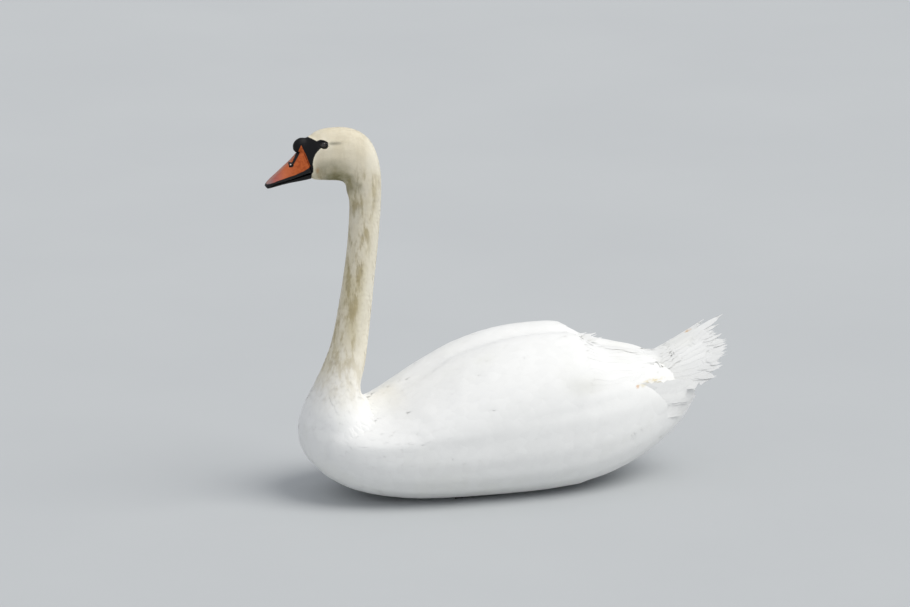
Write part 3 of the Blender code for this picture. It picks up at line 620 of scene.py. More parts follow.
balls, lids = bmesh.new(), bmesh.new()
for side in (1, -1):
    gaze = Vector((GAZE.x * side, GAZE.y, GAZE.z))
    place = Vector((EYE.x * side, EYE.y, EYE.z))
    turned = Matrix.LocRotScale(place, gaze.to_track_quat("Z", "Y"), None)
    bmesh.ops.create_uvsphere(balls, u_segments=48, v_segments=32, radius=BALL_RADIUS, matrix=turned)
    rim = [lids.verts.new((r * MM, 0.0, h * MM)) for r, h in LID_RIM]
    loop = [lids.edges.new((a, b)) for a, b in zip(rim, rim[1:] + rim[:1])]
    bmesh.ops.spin(lids, geom=rim + loop, cent=(0, 0, 0), axis=(0, 0, 1), dvec=(0, 0, 0),
                   angle=2 * math.pi, steps=40, use_merge=True, use_normal_flip=False, use_duplicate=False)
    fresh = [v for v in lids.verts if not v.tag]
    for v in fresh:
        angle = math.atan2(v.co.y, v.co.x)
        v.co.y *= LID_SQUEEZE
        if v.co.y > 0:  # the upper lid is the heavier, and its edge hangs over the ball
            v.co.y -= LID_DROOP * math.sin(angle)
            v.co.z += LID_FORWARD * math.sin(angle)
        v.co.x += CORNER_PULL * math.copysign(abs(math.cos(angle)) ** 6, math.cos(angle))
        v.co = turned @ v.co
        v.tag = True
bmesh.ops.recalc_face_normals(lids, faces=lids.faces)
eyeballs, eyelids = as_object("eyeballs", balls), as_object("eyelids", lids)
for piece in (eyeballs, eyelids):
    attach(piece, "root")
co, _ = points_of(eyeballs.data)
pole = np.array(EYE + GAZE * BALL_RADIUS)
from_pupil = np.linalg.norm(np.stack((np.abs(co[:, 0]), co[:, 1], co[:, 2]), axis=1) - pole, axis=1) / MM
eyeballs.data.attributes.new("from_pupil", "FLOAT", "POINT").data.foreach_set("value", from_pupil)
cornea, tree, shader, brown, _ = grained("wet_eye", ("#1D110B", "#3A2415"), 1500.0, 3.0, Roughness=0.08,
                                         Coat_Weight=1.0, Coat_Roughness=0.03)
held = add_node(tree, "ShaderNodeAttribute", attribute_name="from_pupil").outputs["Fac"]
iris = add_node(tree, "ShaderNodeMapRange", {"Value": held, 1: PUPIL - 0.15, 2: PUPIL + 0.15})
rim_dark = add_node(tree, "ShaderNodeMapRange", {"Value": held, 1: IRIS - 0.6, 2: IRIS})
seen = over(tree, over(tree, "#040405", brown, iris.outputs[0]), "#0B0908", rim_dark.outputs[0])
tree.links.new(seen, shader.inputs["Base Color"])
eyeballs.data.materials.append(cornea)
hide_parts("eye_left", "eye_right")

lid_skin = grained("black_lid_skin", ("#060608", "#121216"), 1100.0, relief=(0.35, 0.25 * MM),
                   Roughness=0.5)[0]
eyelids.data.materials.append(lid_skin)

# ---------------------------------------------------------------- feet
# The webbed feet, tucked back under the belly: dark grey leather in small scales, and short blunt claws
# of black horn at the tips of the three toes.
TOE_BASE = (44.0, 21.0)  # where the toes meet, (x, y) in mm
TOES = ((-14.5, 104.0), (1.0, 128.0), (16.0, 118.0))  # degrees out, length in mm
CLAW_LENGTH, CLAW_RADIUS = 8.0, 2.6
CLAW_INSET, CLAW_HEIGHT = 5.0, 3.2  # from the toe's tip and over the floor, mm

leather, tree, shader, grey, _ = grained("scaly_foot_leather", ("#2C2B2A", "#4A4845"), 60.0, 4.0,
                                         Roughness=0.55)
coords = add_node(tree, "ShaderNodeTexCoord")
scales = add_node(tree, "ShaderNodeTexVoronoi", {"Vector": coords.outputs["Object"], "Scale": 420.0})
edged = over(tree, grey, "#1B1A1A", scales.outputs["Distance"])
tree.links.new(edged, shader.inputs["Base Color"])
relief = add_node(tree, "ShaderNodeBump", {"Height": scales.outputs["Distance"], "Strength": 0.6,
                                           "Distance": 0.4 * MM}, invert=True)
tree.links.new(relief.outputs[0], shader.inputs["Normal"])
for side_name in ("left", "right"):
    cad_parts["leg_" + side_name].material_slots[0].material = leather

claws = bmesh.new()
for side in (1, -1):
    for out, reach_out in TOES:
        turn = math.radians(out)
        along = reach_out - CLAW_INSET
        tip = Vector((side * (TOE_BASE[0] + math.sin(turn) * along), TOE_BASE[1] - math.cos(turn) * along,
                      CLAW_HEIGHT)) * MM
        way = Vector((side * math.sin(turn), -math.cos(turn), -0.22)).normalized()
        placed = Matrix.LocRotScale(tip, way.to_track_quat("Z", "Y"), None)
        bmesh.ops.create_cone(claws, cap_ends=True, segments=16, radius1=CLAW_RADIUS * MM, radius2=0.5 * MM,
                              depth=CLAW_LENGTH * MM, matrix=placed)
blunt = [e for e in claws.edges if e.calc_length() < 0.4 * MM]
bmesh.ops.bevel(claws, geom=blunt, offset=0.25 * MM, segments=2, profile=0.5, affect="EDGES", material=-1)
for v in claws.verts:
    v.co.z = max(v.co.z, 0.1 * MM)
claw_piece = as_object("claws", claws)
claw_piece.data.materials.append(black_horn)
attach(claw_piece, "root")

# ---------------------------------------------------------------- lie of the plumage
# Feathers grow from the skin in even rows and lie back along the body, each over the root of the next.
# Here are the lie over the whole skin, the blank vanes, and how a vane is laid on the skin.
LIE_ROUNDS = 24
ROOT_SINK = 0.3 * MM  # how deep a vane's root stands in the skin
BAKE_PATCH = 0.003  # how much of the baked picture each vane gets
FLOOR_GAP = 0.3 * MM
BARB_GAP, BARB_SLANT = 1.5 * MM, 0.9
VANE_UNIT = 10 * MM  # one unit of a vane's own map
THROWS, CLOSENESS = 7, 0.82  # roots tried for each one kept, and how near two may be, by the gap

_, _, skin_lie = spine_place(skin_co)
edges = np.array([e.vertices[:] for e in skin.data.edges])
ends = np.concatenate((edges[:, 0], edges[:, 1]))
others = np.concatenate((edges[:, 1], edges[:, 0]))
for _ in range(LIE_ROUNDS):
    drawn = np.stack([np.bincount(ends, skin_lie[others, k], len(skin_co)) for k in range(3)], axis=1)
    drawn = unit(drawn) + skin_lie
    skin_lie = unit(drawn - skin_no * (drawn * skin_no).sum(1, keepdims=True))
centres = skin_co[skin_tri].mean(1)
face_normal = unit(skin_no[skin_tri].mean(1))
face_area = np.linalg.norm(np.cross(skin_co[skin_tri[:, 1]] - skin_co[skin_tri[:, 0]],
                                    skin_co[skin_tri[:, 2]] - skin_co[skin_tri[:, 0]]), axis=1) / 2
face_reach, _, _ = spine_place(centres)
face_naked = naked[skin_tri].mean(1)


def on_surface(tree, co, no, points):
    """The nearest places on a surface, with the even normals there, and the skin's lie at that place."""
    hits = [tree.find_nearest(p) for p in points.tolist()]
    places = np.array([h[0] for h in hits])
    corners = skin_tri[[h[2] for h in hits]]
    a, b, c = (co[corners[:, k]] for k in range(3))
    whole = np.maximum(np.linalg.norm(np.cross(b - a, c - a), axis=1), 1e-18)
    wa = np.linalg.norm(np.cross(b - places, c - places), axis=1) / whole
    wb = np.linalg.norm(np.cross(c - places, a - places), axis=1) / whole
    share = np.stack((wa, wb, np.maximum(1 - wa - wb, 0)), axis=1)[:, :, None]
    return places, unit((no[corners] * share).sum(1)), unit((skin_lie[corners] * share).sum(1))


def on_skin(points):
    """The same for the skin."""
    return on_surface(skin_tree, skin_co, skin_no, points)


def on_outline(points):
    """The same for the outline, a coat's depth outside the skin."""
    return on_surface(outer_tree, outer_co, outer_no, points)


def strewn(where, gap, seed):
    """Roots strewn evenly over the faces where holds, at that gap in mm: (places, faces)."""
    rng = np.random.default_rng(seed)
    weight = np.where(where, face_area / (gap * MM) ** 2, 0.0)
    picks = rng.choice(len(skin_tri), int(weight.sum() * THROWS), p=weight / weight.sum())
    a, b = rng.random(len(picks)), rng.random(len(picks))
    a, b = np.where(a + b > 1, 1 - a, a), np.where(a + b > 1, 1 - b, b)
    p, q, r = (skin_co[skin_tri[picks, k]] for k in range(3))
    places = p + (q - p) * a[:, None] + (r - p) * b[:, None]
    near = KDTree(len(places))
    for i, place in enumerate(places.tolist()):
        near.insert(place, i)
    near.balance()
    free, kept = np.ones(len(places), bool), []
    spread = gap[picks] * MM * CLOSENESS
    for i, place in enumerate(places.tolist()):
        if free[i]:
            kept.append(i)
            for _, j, _ in near.find_range(place, spread[i]):
                free[j] = False
    return places[kept], picks[kept]


def blank(columns, rows, outline, seed, fray=0.0, slant=0.0, splits=0.0, thick=False, shaft=0.0):
    """A vane 1 long and 2 wide, as (u, v, height) and triangles. outline gives the half width along it.
    fray roughens the tip, slant leans the barbs to the tip, and splits part the vane at its edges."""
    rng = np.random.default_rng(seed)
    made = bmesh.new()
    bmesh.ops.create_grid(made, x_segments=columns, y_segments=rows, size=0.5)
    torn = rng.random((2, rows + 1)) < splits
    rough = rng.normal(0.0, 1.0, (columns + 1, rows + 1))
    height = {}
    for v in made.verts:
        c, t = v.co.x * 2, v.co.y + 0.5
        column, row = round((c + 1) * columns / 2), round(t * rows)
        side = abs(c)
        if shaft and 0 < side < 0.99:  # the innermost columns close in on the shaft
            side = 0.05 if side < 0.4 else 0.56
        half = np.interp(t, *outline)
        lean = slant * side * (1 - t) * 0.5 - 0.13 * side ** 2 * t ** 3
        if side > 0.9:
            half *= 1 + fray * 0.5 * rough[column, row] * t
            if torn[int(c > 0), row] and 0.3 < t < 0.97:  # a notch where the barbs have parted
                half *= 0.62
        if row == rows:
            lean += fray * rough[column, row] * 0.55
        v.co = (math.copysign(side, c) * half if c else 0.0, min(t + lean, 1.12), 0.0)
        height[v] = (1 - side ** 2) * (1 - 0.85 * t ** 3) if t > 0 else 0.2
    if thick:  # a flat plate 1 thick with its shaft proud of it, and else a low arch closed below
        bmesh.ops.solidify(made, geom=made.faces[:], thickness=1.0)
        made.verts.ensure_lookup_table()
        middle_height = sum(v.co.z for v in made.verts) / len(made.verts)
        for v in made.verts:
            top = v.co.z > middle_height
            v.co.z = 1.0 if top else 0.0
            if top and shaft and abs(v.co.x) < 0.02:
                v.co.z += shaft
    else:
        rim = [e for e in made.edges if e.is_boundary]
        bmesh.ops.contextual_create(made, geom=rim)
        for v, h in height.items():
            v.co.z = h
    bmesh.ops.triangulate(made, faces=made.faces[:])
    bmesh.ops.recalc_face_normals(made, faces=made.faces[:])
    made.verts.index_update()
    places = np.array([v.co[:] for v in made.verts])
    faces = np.array([[v.index for v in f.verts] for f in made.faces])
    made.free()
    return places, faces


def lay(coat, vane, roots, lie, normal, length, width, lift, cup, seed, arch=1.0, free=0.0):
    """Lays one vane on each root, over the skin. Sizes are in metres and may differ from root to root.
    free is the share by which its tip keeps straight where the skin falls away."""
    shape, faces = vane
    rng = np.random.default_rng(seed)
    n, m = len(roots), len(shape)
    sizes = (length, width, lift, cup)
    length, width, lift, cup = (np.broadcast_to(np.asarray(x, float), (n,)) for x in sizes)
    lie = unit(lie - normal * (lie * normal).sum(1, keepdims=True))
    side = np.cross(lie, normal)
    u, v, h = shape[:, 0][None, :, None], shape[:, 1][None, :, None], shape[:, 2][None, :, None]
    wide, long_ = (width / 2)[:, None, None], length[:, None, None]
    flat = roots[:, None] + side[:, None] * u * wide + lie[:, None] * v * long_
    rise = (lift + ROOT_SINK)[:, None, None] * (1 - (1 - np.minimum(v, 1.0)) ** arch) - ROOT_SINK
    rise = rise + cup[:, None, None] * h
    places, upright, _ = on_skin(flat.reshape(-1, 3))
    places, upright = places.reshape(n, m, 3), upright.reshape(n, m, 3)
    # a vane that would bend too far from its root over the skin keeps its straight line instead
    loose = smooth(0.5, 0.9, np.linalg.norm(places - flat, axis=2) / length[:, None])[:, :, None]
    loose = np.maximum(loose, free * smooth(0.1, 0.9, v))
    done = places * (1 - loose) + flat * loose + upright * rise
    add_to(coat, done, upright, faces, shape, roots, length, width, rng.random(n))


def add_to(coat, done, upright, faces, shape, roots, length, width, tone):
    """Adds laid vanes to a coat: their points, faces, bake patches, vane maps and tones."""
    n, m = done.shape[:2]
    base = coat["count"] + np.arange(n)[:, None, None] * m
    coat["count"] += n * m
    coat["co"].append(done.reshape(-1, 3))
    coat["up"].append(upright.reshape(-1, 3))
    coat["tri"].append((faces[None] + base).reshape(-1, 3))
    reach, turn, _ = spine_place(roots)
    root_map = np.stack((turn / (2 * math.pi) + 0.5, reach / 1000.0), axis=1)
    coat["root"].append(np.repeat(root_map, m, axis=0))
    patch = np.stack((shape[:, 0] * 0.5, shape[:, 1] - 0.5), axis=1) * BAKE_PATCH
    coat["patch"].append(np.tile(patch, (n, 1)))
    vane_map = np.stack((shape[None, :, 0] * width[:, None] / 2, shape[None, :, 1] * length[:, None]), axis=2)
    coat["vane"].append(vane_map.reshape(-1, 2) / VANE_UNIT)
    coat["tone"].append(np.repeat(tone, m))


def new_coat():
    """A coat with no vanes yet."""
    return {"count": 0, "co": [], "up": [], "tri": [], "root": [], "patch": [], "vane": [], "tone": []}


def finish_coat(name, coat, material, softness=0.7):
    """Joins a coat's vanes into one piece that rides on the bird. softness turns the vanes' shading
    towards the lie of the whole coat, as the fine barbs of real feathers do."""
    co, tri = np.concatenate(coat["co"]), np.concatenate(coat["tri"])
    co[:, 2] = np.maximum(co[:, 2], FLOOR_GAP)  # nothing goes under the floor
    mesh = bpy.data.meshes.new(name)
    mesh.vertices.add(len(co))
    mesh.vertices.foreach_set("co", co.ravel())
    mesh.loops.add(tri.size)
    mesh.loops.foreach_set("vertex_index", tri.ravel())
    mesh.polygons.add(len(tri))
    mesh.polygons.foreach_set("loop_start", np.arange(len(tri)) * 3)
    mesh.update(calc_edges=True)
    root = np.concatenate(coat["root"])
    low, high = root.min(0), root.max(0)
    spread = 0.006 + 0.988 * (root - low) / np.maximum(high - low, 1e-6)
    for map_name, values in (("OFBake", spread + np.concatenate(coat["patch"])),
                             ("vane", np.concatenate(coat["vane"]))):
        mesh.uv_layers.new(name=map_name).data.foreach_set("uv", values[tri.ravel()].ravel())
    mesh.uv_layers["OFBake"].active = True
    held = mesh.attributes.new("tone", "FLOAT", "POINT")
    held.data.foreach_set("value", np.concatenate(coat["tone"]))
    mesh.polygons.foreach_set("use_smooth", np.ones(len(tri), bool))
    mesh.set_sharp_from_angle(angle=math.radians(50.0))
    own = np.empty(tri.size * 3)
    mesh.corner_normals.foreach_get("vector", own)
    own, up = own.reshape(-1, 3), np.concatenate(coat["up"])[tri.ravel()]
    soft = softness * smooth(0.0, 0.4, (own * up).sum(1, keepdims=True))
    mesh.normals_split_custom_set(unit(own * (1 - soft) + up * soft))
    mesh.materials.append(material)
    piece = bpy.data.objects.new(name, mesh)
    bpy.context.scene.collection.objects.link(piece)
    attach(piece, "root")
    print(name, len(tri), "triangles")
    return piece


def feather_material(name, relief_depth):
    """Feather keratin: white and matt with a soft sheen, light scatters a little in it, and its barbs
    run out from the shaft about 0.7 mm apart, drawn at twice that so that they show."""
    made, tree, shader = new_material(name, Roughness=0.62, Specular_IOR_Level=0.3, Sheen_Weight=0.12,
                                      Sheen_Roughness=0.5)
    tree.links.new(markings(tree, tone="tone"), shader.inputs["Base Color"])
    vane = add_node(tree, "ShaderNodeUVMap", uv_map="vane")
    parts = add_node(tree, "ShaderNodeSeparateXYZ", {0: vane.outputs[0]})
    out = add_node(tree, "ShaderNodeMath", {0: parts.outputs[0]}, operation="ABSOLUTE")
    barb = add_node(tree, "ShaderNodeMath", {0: out.outputs[0], 1: -BARB_SLANT, 2: parts.outputs[1]},
                    operation="MULTIPLY_ADD")
    row = add_node(tree, "ShaderNodeMath", {0: barb.outputs[0], 1: 2 * math.pi * VANE_UNIT / BARB_GAP},
                   operation="MULTIPLY")
    comb = add_node(tree, "ShaderNodeMath", {0: row.outputs[0]}, operation="SINE")
    relief = add_node(tree, "ShaderNodeBump", {"Height": comb.outputs[0], "Strength": 0.5,
                                               "Distance": relief_depth})
    tree.links.new(relief.outputs[0], shader.inputs["Normal"])
    return made


down_soft = feather_material("small_feather_keratin", 0.05 * MM)
vane_firm = feather_material("flight_feather_keratin", 0.08 * MM)

# ---------------------------------------------------------------- head and neck feathers
# Thousands of the smallest feathers: a velvet of 3 to 8 mm on the face and crown, then narrow soft
# ones down the neck, lying in furrows.
FINE = ([0.0, 0.35, 0.75, 1.0], [0.25, 0.9, 0.85, 0.30])
NARROW = ([0.0, 0.3, 0.7, 1.0], [0.2, 0.95, 0.8, 0.18])
HEAD_TABLE = {  # by distance along the spine in mm: length, width and gap in mm
    "length": ((0, 3.2), (40, 4.5), (83, 7.0), (144, 10.0), (189, 12.0), (340, 15.0), (450, 21.0),
               (560, 30.0)),
    "width": ((0, 1.5), (40, 2.1), (83, 2.8), (144, 3.4), (189, 3.9), (340, 5.0), (450, 9.0), (560, 17.0)),
    "gap": ((0, 1.3), (40, 1.65), (83, 2.0), (144, 2.3), (189, 2.5), (340, 2.9), (450, 3.9), (560, 7.0)),
}
HEAD_END, NECK_MIDDLE, NECK_END = 150.0, 330.0, 500.0  # mm along the spine


def strewn_coat(name, where, sizes, vanes, seed, material, cup=0.5, arch=1.4, turn=5.0,
                lift_share=1.0, softness=0.7):
    """A piece of strewn feathers, each a little different in size, turn and lift."""
    coat = new_coat()
    roots, faces = strewn(where, table(sizes["gap"], face_reach), seed)
    rng = np.random.default_rng(seed + 1)
    _, normal, lie = on_skin(roots)
    reach = face_reach[faces]
    n = len(roots)
    yaw = np.radians(rng.normal(0.0, turn, n))[:, None]
    lie = lie * np.cos(yaw) + np.cross(normal, lie) * np.sin(yaw)
    near_face = smooth(0.0, 6.0, face_naked[faces])
    shrink = 0.55 + 0.45 * near_face
    length = table(sizes["length"], reach) * MM * rng.uniform(0.85, 1.15, n) * shrink
    width = table(sizes["width"], reach) * MM * rng.uniform(0.88, 1.12, n)
    lift = coat_depth(reach) * lift_share * rng.uniform(0.85, 1.0, n) * (0.2 + 0.8 * near_face)
    kind = rng.integers(0, len(vanes), n)
    for k, vane in enumerate(vanes):
        mine = kind == k
        lay(coat, vane, roots[mine], lie[mine], normal[mine], length[mine], width[mine], lift[mine],
            width[mine] * 0.10 * cup, seed + 10 + k, arch)
    return finish_coat(name, coat, material, softness)


fine_vanes = [blank(2, 3, FINE, s, fray=0.05) for s in (1, 2)]
narrow_vanes = [blank(2, 4, NARROW, s, fray=0.08) for s in (3, 4, 5)]
clear_of_face = face_naked > 0.4
strewn_coat("feathers_head", clear_of_face & (face_reach < HEAD_END), HEAD_TABLE, fine_vanes, 100, down_soft)
strewn_coat("feathers_neck_upper", (face_reach >= HEAD_END) & (face_reach < NECK_MIDDLE), HEAD_TABLE,
            narrow_vanes, 200, down_soft, turn=7.0, arch=1.9)
strewn_coat("feathers_neck_lower", (face_reach >= NECK_MIDDLE) & (face_reach < NECK_END), HEAD_TABLE,
            narrow_vanes, 300, down_soft, arch=2.3, cup=0.35, softness=0.85)

# ---------------------------------------------------------------- body feathers
# Contour feathers of breast, back, flanks and belly: broad and rounded, 30 to 55 mm long, their firm
# tips closing to a smooth, dense, watertight surface.
BROAD = ([0.0, 0.25, 0.6, 0.85, 1.0], [0.15, 0.72, 1.0, 0.88, 0.46])
BODY_TABLE = {
    "length": ((480, 26.0), (560, 34.0), (700, 40.0), (900, 44.0), (1100, 50.0)),
    "width": ((480, 13.0), (560, 19.0), (700, 23.0), (900, 25.0), (1100, 26.0)),
    "gap": ((480, 6.6), (560, 9.0), (700, 10.5), (900, 11.5), (1100, 11.5)),
}
WING_REACH = 9.5 * MM  # how deep the skin lies under the wings' solids at most
WING_LOW, WING_FRONT, WING_REAR = 0.09, -0.215, 0.30
BREAST_END = 0.02
RUMP_END = (0.238, 0.192)  # behind this y and above this z the tail's own coverts lie

wing_trees = {}
for side_name in ("left", "right"):
    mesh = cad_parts["wing_" + side_name].data
    wing_trees[side_name] = BVHTree.FromPolygons([v.co[:] for v in mesh.vertices],
                                                 [p.vertices[:] for p in mesh.polygons])


def on_wing(side_name, reach_out):
    """Whether each face of the skin lies under that wing's solid."""
    found = np.zeros(len(skin_tri), bool)
    near = (centres[:, 2] > WING_LOW) & (centres[:, 1] > WING_FRONT) & (centres[:, 1] < WING_REAR)
    for i in np.flatnonzero(near):
        place, normal, _, gap = wing_trees[side_name].find_nearest(centres[i].tolist())
        found[i] = gap < reach_out and normal.dot(Vector(face_normal[i])) > 0.2
    return found


wing_face = {side_name: on_wing(side_name, WING_REACH) for side_name in ("left", "right")}
body = (face_reach >= NECK_END) & ~wing_face["left"] & ~wing_face["right"]
broad_vanes = [blank(4, 5, BROAD, s, fray=0.05) for s in (11, 12, 13)]
in_front = centres[:, 1] < BREAST_END
strewn_coat("feathers_breast", body & in_front, BODY_TABLE, broad_vanes, 400, down_soft, cup=0.3,
            arch=2.5, softness=0.8)
rump_end = (centres[:, 1] > RUMP_END[0]) & (centres[:, 2] > RUMP_END[1])
strewn_coat("feathers_rump_belly", body & ~in_front & ~rump_end, BODY_TABLE, broad_vanes, 500, down_soft,
            cup=0.3, arch=2.5)

# ---------------------------------------------------------------- wings
# Folded wings: small coverts over the arm, then rows of larger feathers, each row over the roots of the
# next: scapulars from the shoulder, greater coverts, secondaries, tertials over the back, and the tips
# of the primaries at the rear. Each flight feather is a firm vane of barbs on a stiff pale shaft.
AXIS_HEIGHT = 0.10  # of the line in the body that places on the wing are seen from
FLIGHT = ([0.0, 0.06, 0.16, 0.6, 0.85, 0.96, 1.0], [0.10, 0.30, 0.80, 1.0, 0.92, 0.66, 0.34])
ROUNDED = ([0.0, 0.12, 0.3, 0.65, 0.88, 1.0], [0.14, 0.6, 0.9, 1.0, 0.84, 0.42])
POINTED = ([0.0, 0.1, 0.3, 0.6, 0.85, 1.0], [0.12, 0.6, 0.95, 0.9, 0.6, 0.12])


def wing_edges(side_name):
    """The turn about the body's axis of the wing's top and lower edge, by place along the body."""
    co = np.array([v.co[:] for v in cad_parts["wing_" + side_name].data.vertices])
    places = np.arange(co[:, 1].min() + 0.012, co[:, 1].max() - 0.006, 0.016)
    turn = np.arctan2(np.abs(co[:, 0]), co[:, 2] - AXIS_HEIGHT)
    near = [turn[np.abs(co[:, 1] - y) < 0.022] for y in places]
    return places, np.array([t.min() for t in near]), np.array([t.max() for t in near])


wing_edge = wing_edges("left")


def wing_place(side, y, t):
    """The place on the skin at y along the body and t across the wing: 0 its top edge, 1 its lower."""
    top, low = np.interp(y, wing_edge[0], wing_edge[1]), np.interp(y, wing_edge[0], wing_edge[2])
    turn = top + (low - top) * t
    out = Vector((side * math.sin(turn), 0.0, math.cos(turn)))
    start = Vector((0.0, y, AXIS_HEIGHT)) + out * 0.4
    hit = outer_tree.ray_cast(start, -out, 0.4)[0]
    return np.array(hit if hit else start - out * 0.3)


def lay_quill(coat, vane, path, width, thickness, tone, heights=(0.0, 0.0), tilt=0.0, facing=None,
              shade=None):
    """Lays one large feather along a path of places on the outline. heights are over it at its root and
    tip, and tilt is how much its edge at u 1 stands over that at u -1. Where facing is given, the feather
    is free of the outline and its vane faces that way: one way, or one for each place and one beyond.
    shade is the way its soft shading turns to, if not the vane's own."""
    shape, faces = vane
    path = np.array(path)
    path = np.concatenate((path, [path[-1] + (path[-1] - path[-2]) * 0.3]))
    steps = np.concatenate(([0.0], np.cumsum(np.linalg.norm(np.diff(path, axis=0), axis=1))))
    length = steps[-2]
    tangent = unit(np.gradient(path, axis=0))
    free = facing is not None
    upright = np.resize(facing, path.shape) if free else on_outline(path)[1]
    side = unit(np.cross(tangent, upright))
    at = np.clip(shape[:, 1], 0, 1.2) * length
    spot = np.stack([np.interp(at, steps, path[:, k]) for k in range(3)], axis=1)
    beside = unit(np.stack([np.interp(at, steps, side[:, k]) for k in range(3)], axis=1))
    flat = spot + beside * (shape[:, :1] * width / 2)
    if free:
        up = unit(np.stack([np.interp(at, steps, upright[:, k]) for k in range(3)], axis=1))
    else:
        flat, up, _ = on_outline(flat)
    v = np.clip(shape[:, 1], 0, 1)
    rise = heights[0] + (heights[1] - heights[0]) * (v - 0.3 * v ** 3) / 0.7
    rise = rise + tilt * shape[:, 0] / 2 + shape[:, 2] * thickness
    done = flat + up * rise[:, None]
    if shade is not None:
        up = np.tile(shade, (len(up), 1))
    add_to(coat, done[None], up[None], faces, shape, path[:1], np.array([length]), np.array([width]),
           np.array([tone]))


quill_vanes = [blank(6, 22, FLIGHT, s, fray=0.012, slant=0.16, splits=0.012, thick=True, shaft=0.6)
               for s in (21, 22, 23)]
covert_vanes = [blank(6, 14, ROUNDED, s, fray=0.015, slant=0.14, splits=0.01, thick=True, shaft=0.4)
                for s in (31, 32, 33)]
primary_vanes = [blank(6, 24, POINTED, s, fray=0.012, slant=0.14, splits=0.01, thick=True, shaft=0.6)
                 for s in (41, 42)]
REAR_EDGE = ((0.0, 0.236), (0.33, 0.272), (0.67, 0.280), (1.0, 0.254))  # where the tips end, across the wing
TERTIALS = ((0.236, 0.07), (0.212, 0.14), (0.196, 0.04), (0.176, 0.11), (0.152, 0.03))
VANE_THICK = 0.35 * MM
ARM_END, UNDER_QUILLS = 0.10, (0.06, 0.240)  # y where the small coverts end, and where quills hide more


def wing_row(coat, vanes, side, rng, tips, length, width, heights, tilt, root_shift, jitter=0.004):
    """A row of large feathers on a wing, laid in order. tips are (y, t) pairs, length, width and jitter
    are in metres, and heights and tilt in mm."""
    for number, (y, t) in enumerate(tips):
        y = y + rng.normal(0, jitter)
        grow = length * rng.uniform(0.95, 1.05)
        t_root = t + root_shift
        path = [wing_place(side, y - grow * (1 - s), t_root + (t - t_root) * s) for s in np.linspace(0, 1, 8)]
        lay_quill(coat, vanes[number % len(vanes)], path, width * rng.uniform(0.95, 1.05), VANE_THICK,
                  rng.random(), [h * MM for h in heights], tilt * MM * side)


# Each row: its vanes, the tips, length, width, heights at root and tip, tilt, and how much further down
# the wing its roots lie. Primaries, secondaries, greater coverts, tertials, then three of scapulars.
WING_ROWS = [
    (primary_vanes, [(table(REAR_EDGE, t) + 0.001, t) for t in (0.86, 0.80, 0.74, 0.68)],
     0.19, 0.024, (-2.9, -2.1), 0.5, 0.06, 0.001),
    (quill_vanes, [(table(REAR_EDGE, t) - 0.012 - 0.02 * (t > 0.6), t) for t in np.linspace(0.95, 0.16, 13)],
     0.165, 0.040, (-2.8, -1.7), 0.8, 0.04),
    (covert_vanes, [(0.125 + 0.03 * (1 - t), t) for t in np.linspace(0.93, 0.18, 15)],
     0.095, 0.034, (-2.6, -1.1), 0.7, 0.03),
    (quill_vanes, TERTIALS, 0.15, 0.044, (-2.6, -1.4), 0.15, 0.06)]
for y, lowest, count, length in ((0.052, 0.50, 8, 0.075), (0.088, 0.42, 8, 0.085), (0.120, 0.34, 7, 0.095)):
    tips = [(y - 0.05 * t, t) for t in np.linspace(lowest, 0.0, count)]
    WING_ROWS.append((covert_vanes, tips, length, 0.040, (-2.4, -0.4), 0.6, 0.05))
for side_name, side, seed in (("left", 1, 600), ("right", -1, 700)):
    rng = np.random.default_rng(seed)
    arm = wing_face[side_name] & (centres[:, 1] < ARM_END)
    strewn_coat("feathers_coverts_" + side_name, arm, BODY_TABLE, broad_vanes, seed + 1, down_soft,
                cup=0.3, arch=2.5)
    under = wing_face[side_name] & (centres[:, 1] >= UNDER_QUILLS[0]) & (centres[:, 1] < UNDER_QUILLS[1])
    strewn_coat("feathers_under_quills_" + side_name, under, BODY_TABLE, broad_vanes, seed + 2, down_soft,
                cup=0.2, arch=2.5, lift_share=0.25)
    coat = new_coat()
    for vanes, *row in WING_ROWS:
        wing_row(coat, vanes, side, rng, *row)
    finish_coat("wing_quills_" + side_name, coat, vane_firm)

# ---------------------------------------------------------------- tail
# Stiff tail feathers in a half-open fan, raised behind the folded wings, the middle ones uppermost and
# two of them standing up. Their tips are frayed, and soft coverts lie over and under their roots.
TAIL_FEATHERS = 20
TAIL_ROOT = (0.0, 208.0, 170.0)  # mm
# How far out each line of the fan reaches in mm, by its place across the fan from the right (-1) to the
# left (1). The two halves differ as they do in a live bird.
TAIL_REACH = ((-1.0, 172), (-0.75, 189), (-0.5, 201), (-0.3, 190), (-0.1, 179), (0.15, 180), (0.3, 193),
              (0.5, 199), (0.63, 207), (0.75, 193), (0.88, 182), (1.0, 168))
TAIL_SPREAD = 29.0  # degrees of yaw of the outermost line
TAIL_RISE, RISE_CURVE = (27.2, 5.0), 2.2  # degrees of rise of the middle and outermost line
TAIL_VANE, TAIL_LAYER = 0.34 * MM, 0.15 * MM
ROOT_SPREAD, ROOT_DROP = 16.0, 7.0  # how far the outermost line's root is out to the side and down, mm
QUILL_START, QUILL_WIDTH = 0.030, 0.040
BARB_TUFTS = 90
# The standing feathers, each along a path of (x, y, z) in mm, with its width in mm and the way they face.
STANDING = (
    (((9, 340, 239), (11, 354, 246), (14.5, 370, 255.5), (18.5, 386, 266.5), (21.5, 399.2, 276.5)), 15),
    (((15, 340, 238), (17.5, 352, 243), (21, 366, 248.5), (25, 380, 255), (28.5, 391, 261)), 10))
STANDING_FACING = (0.35, -0.45, 0.82)


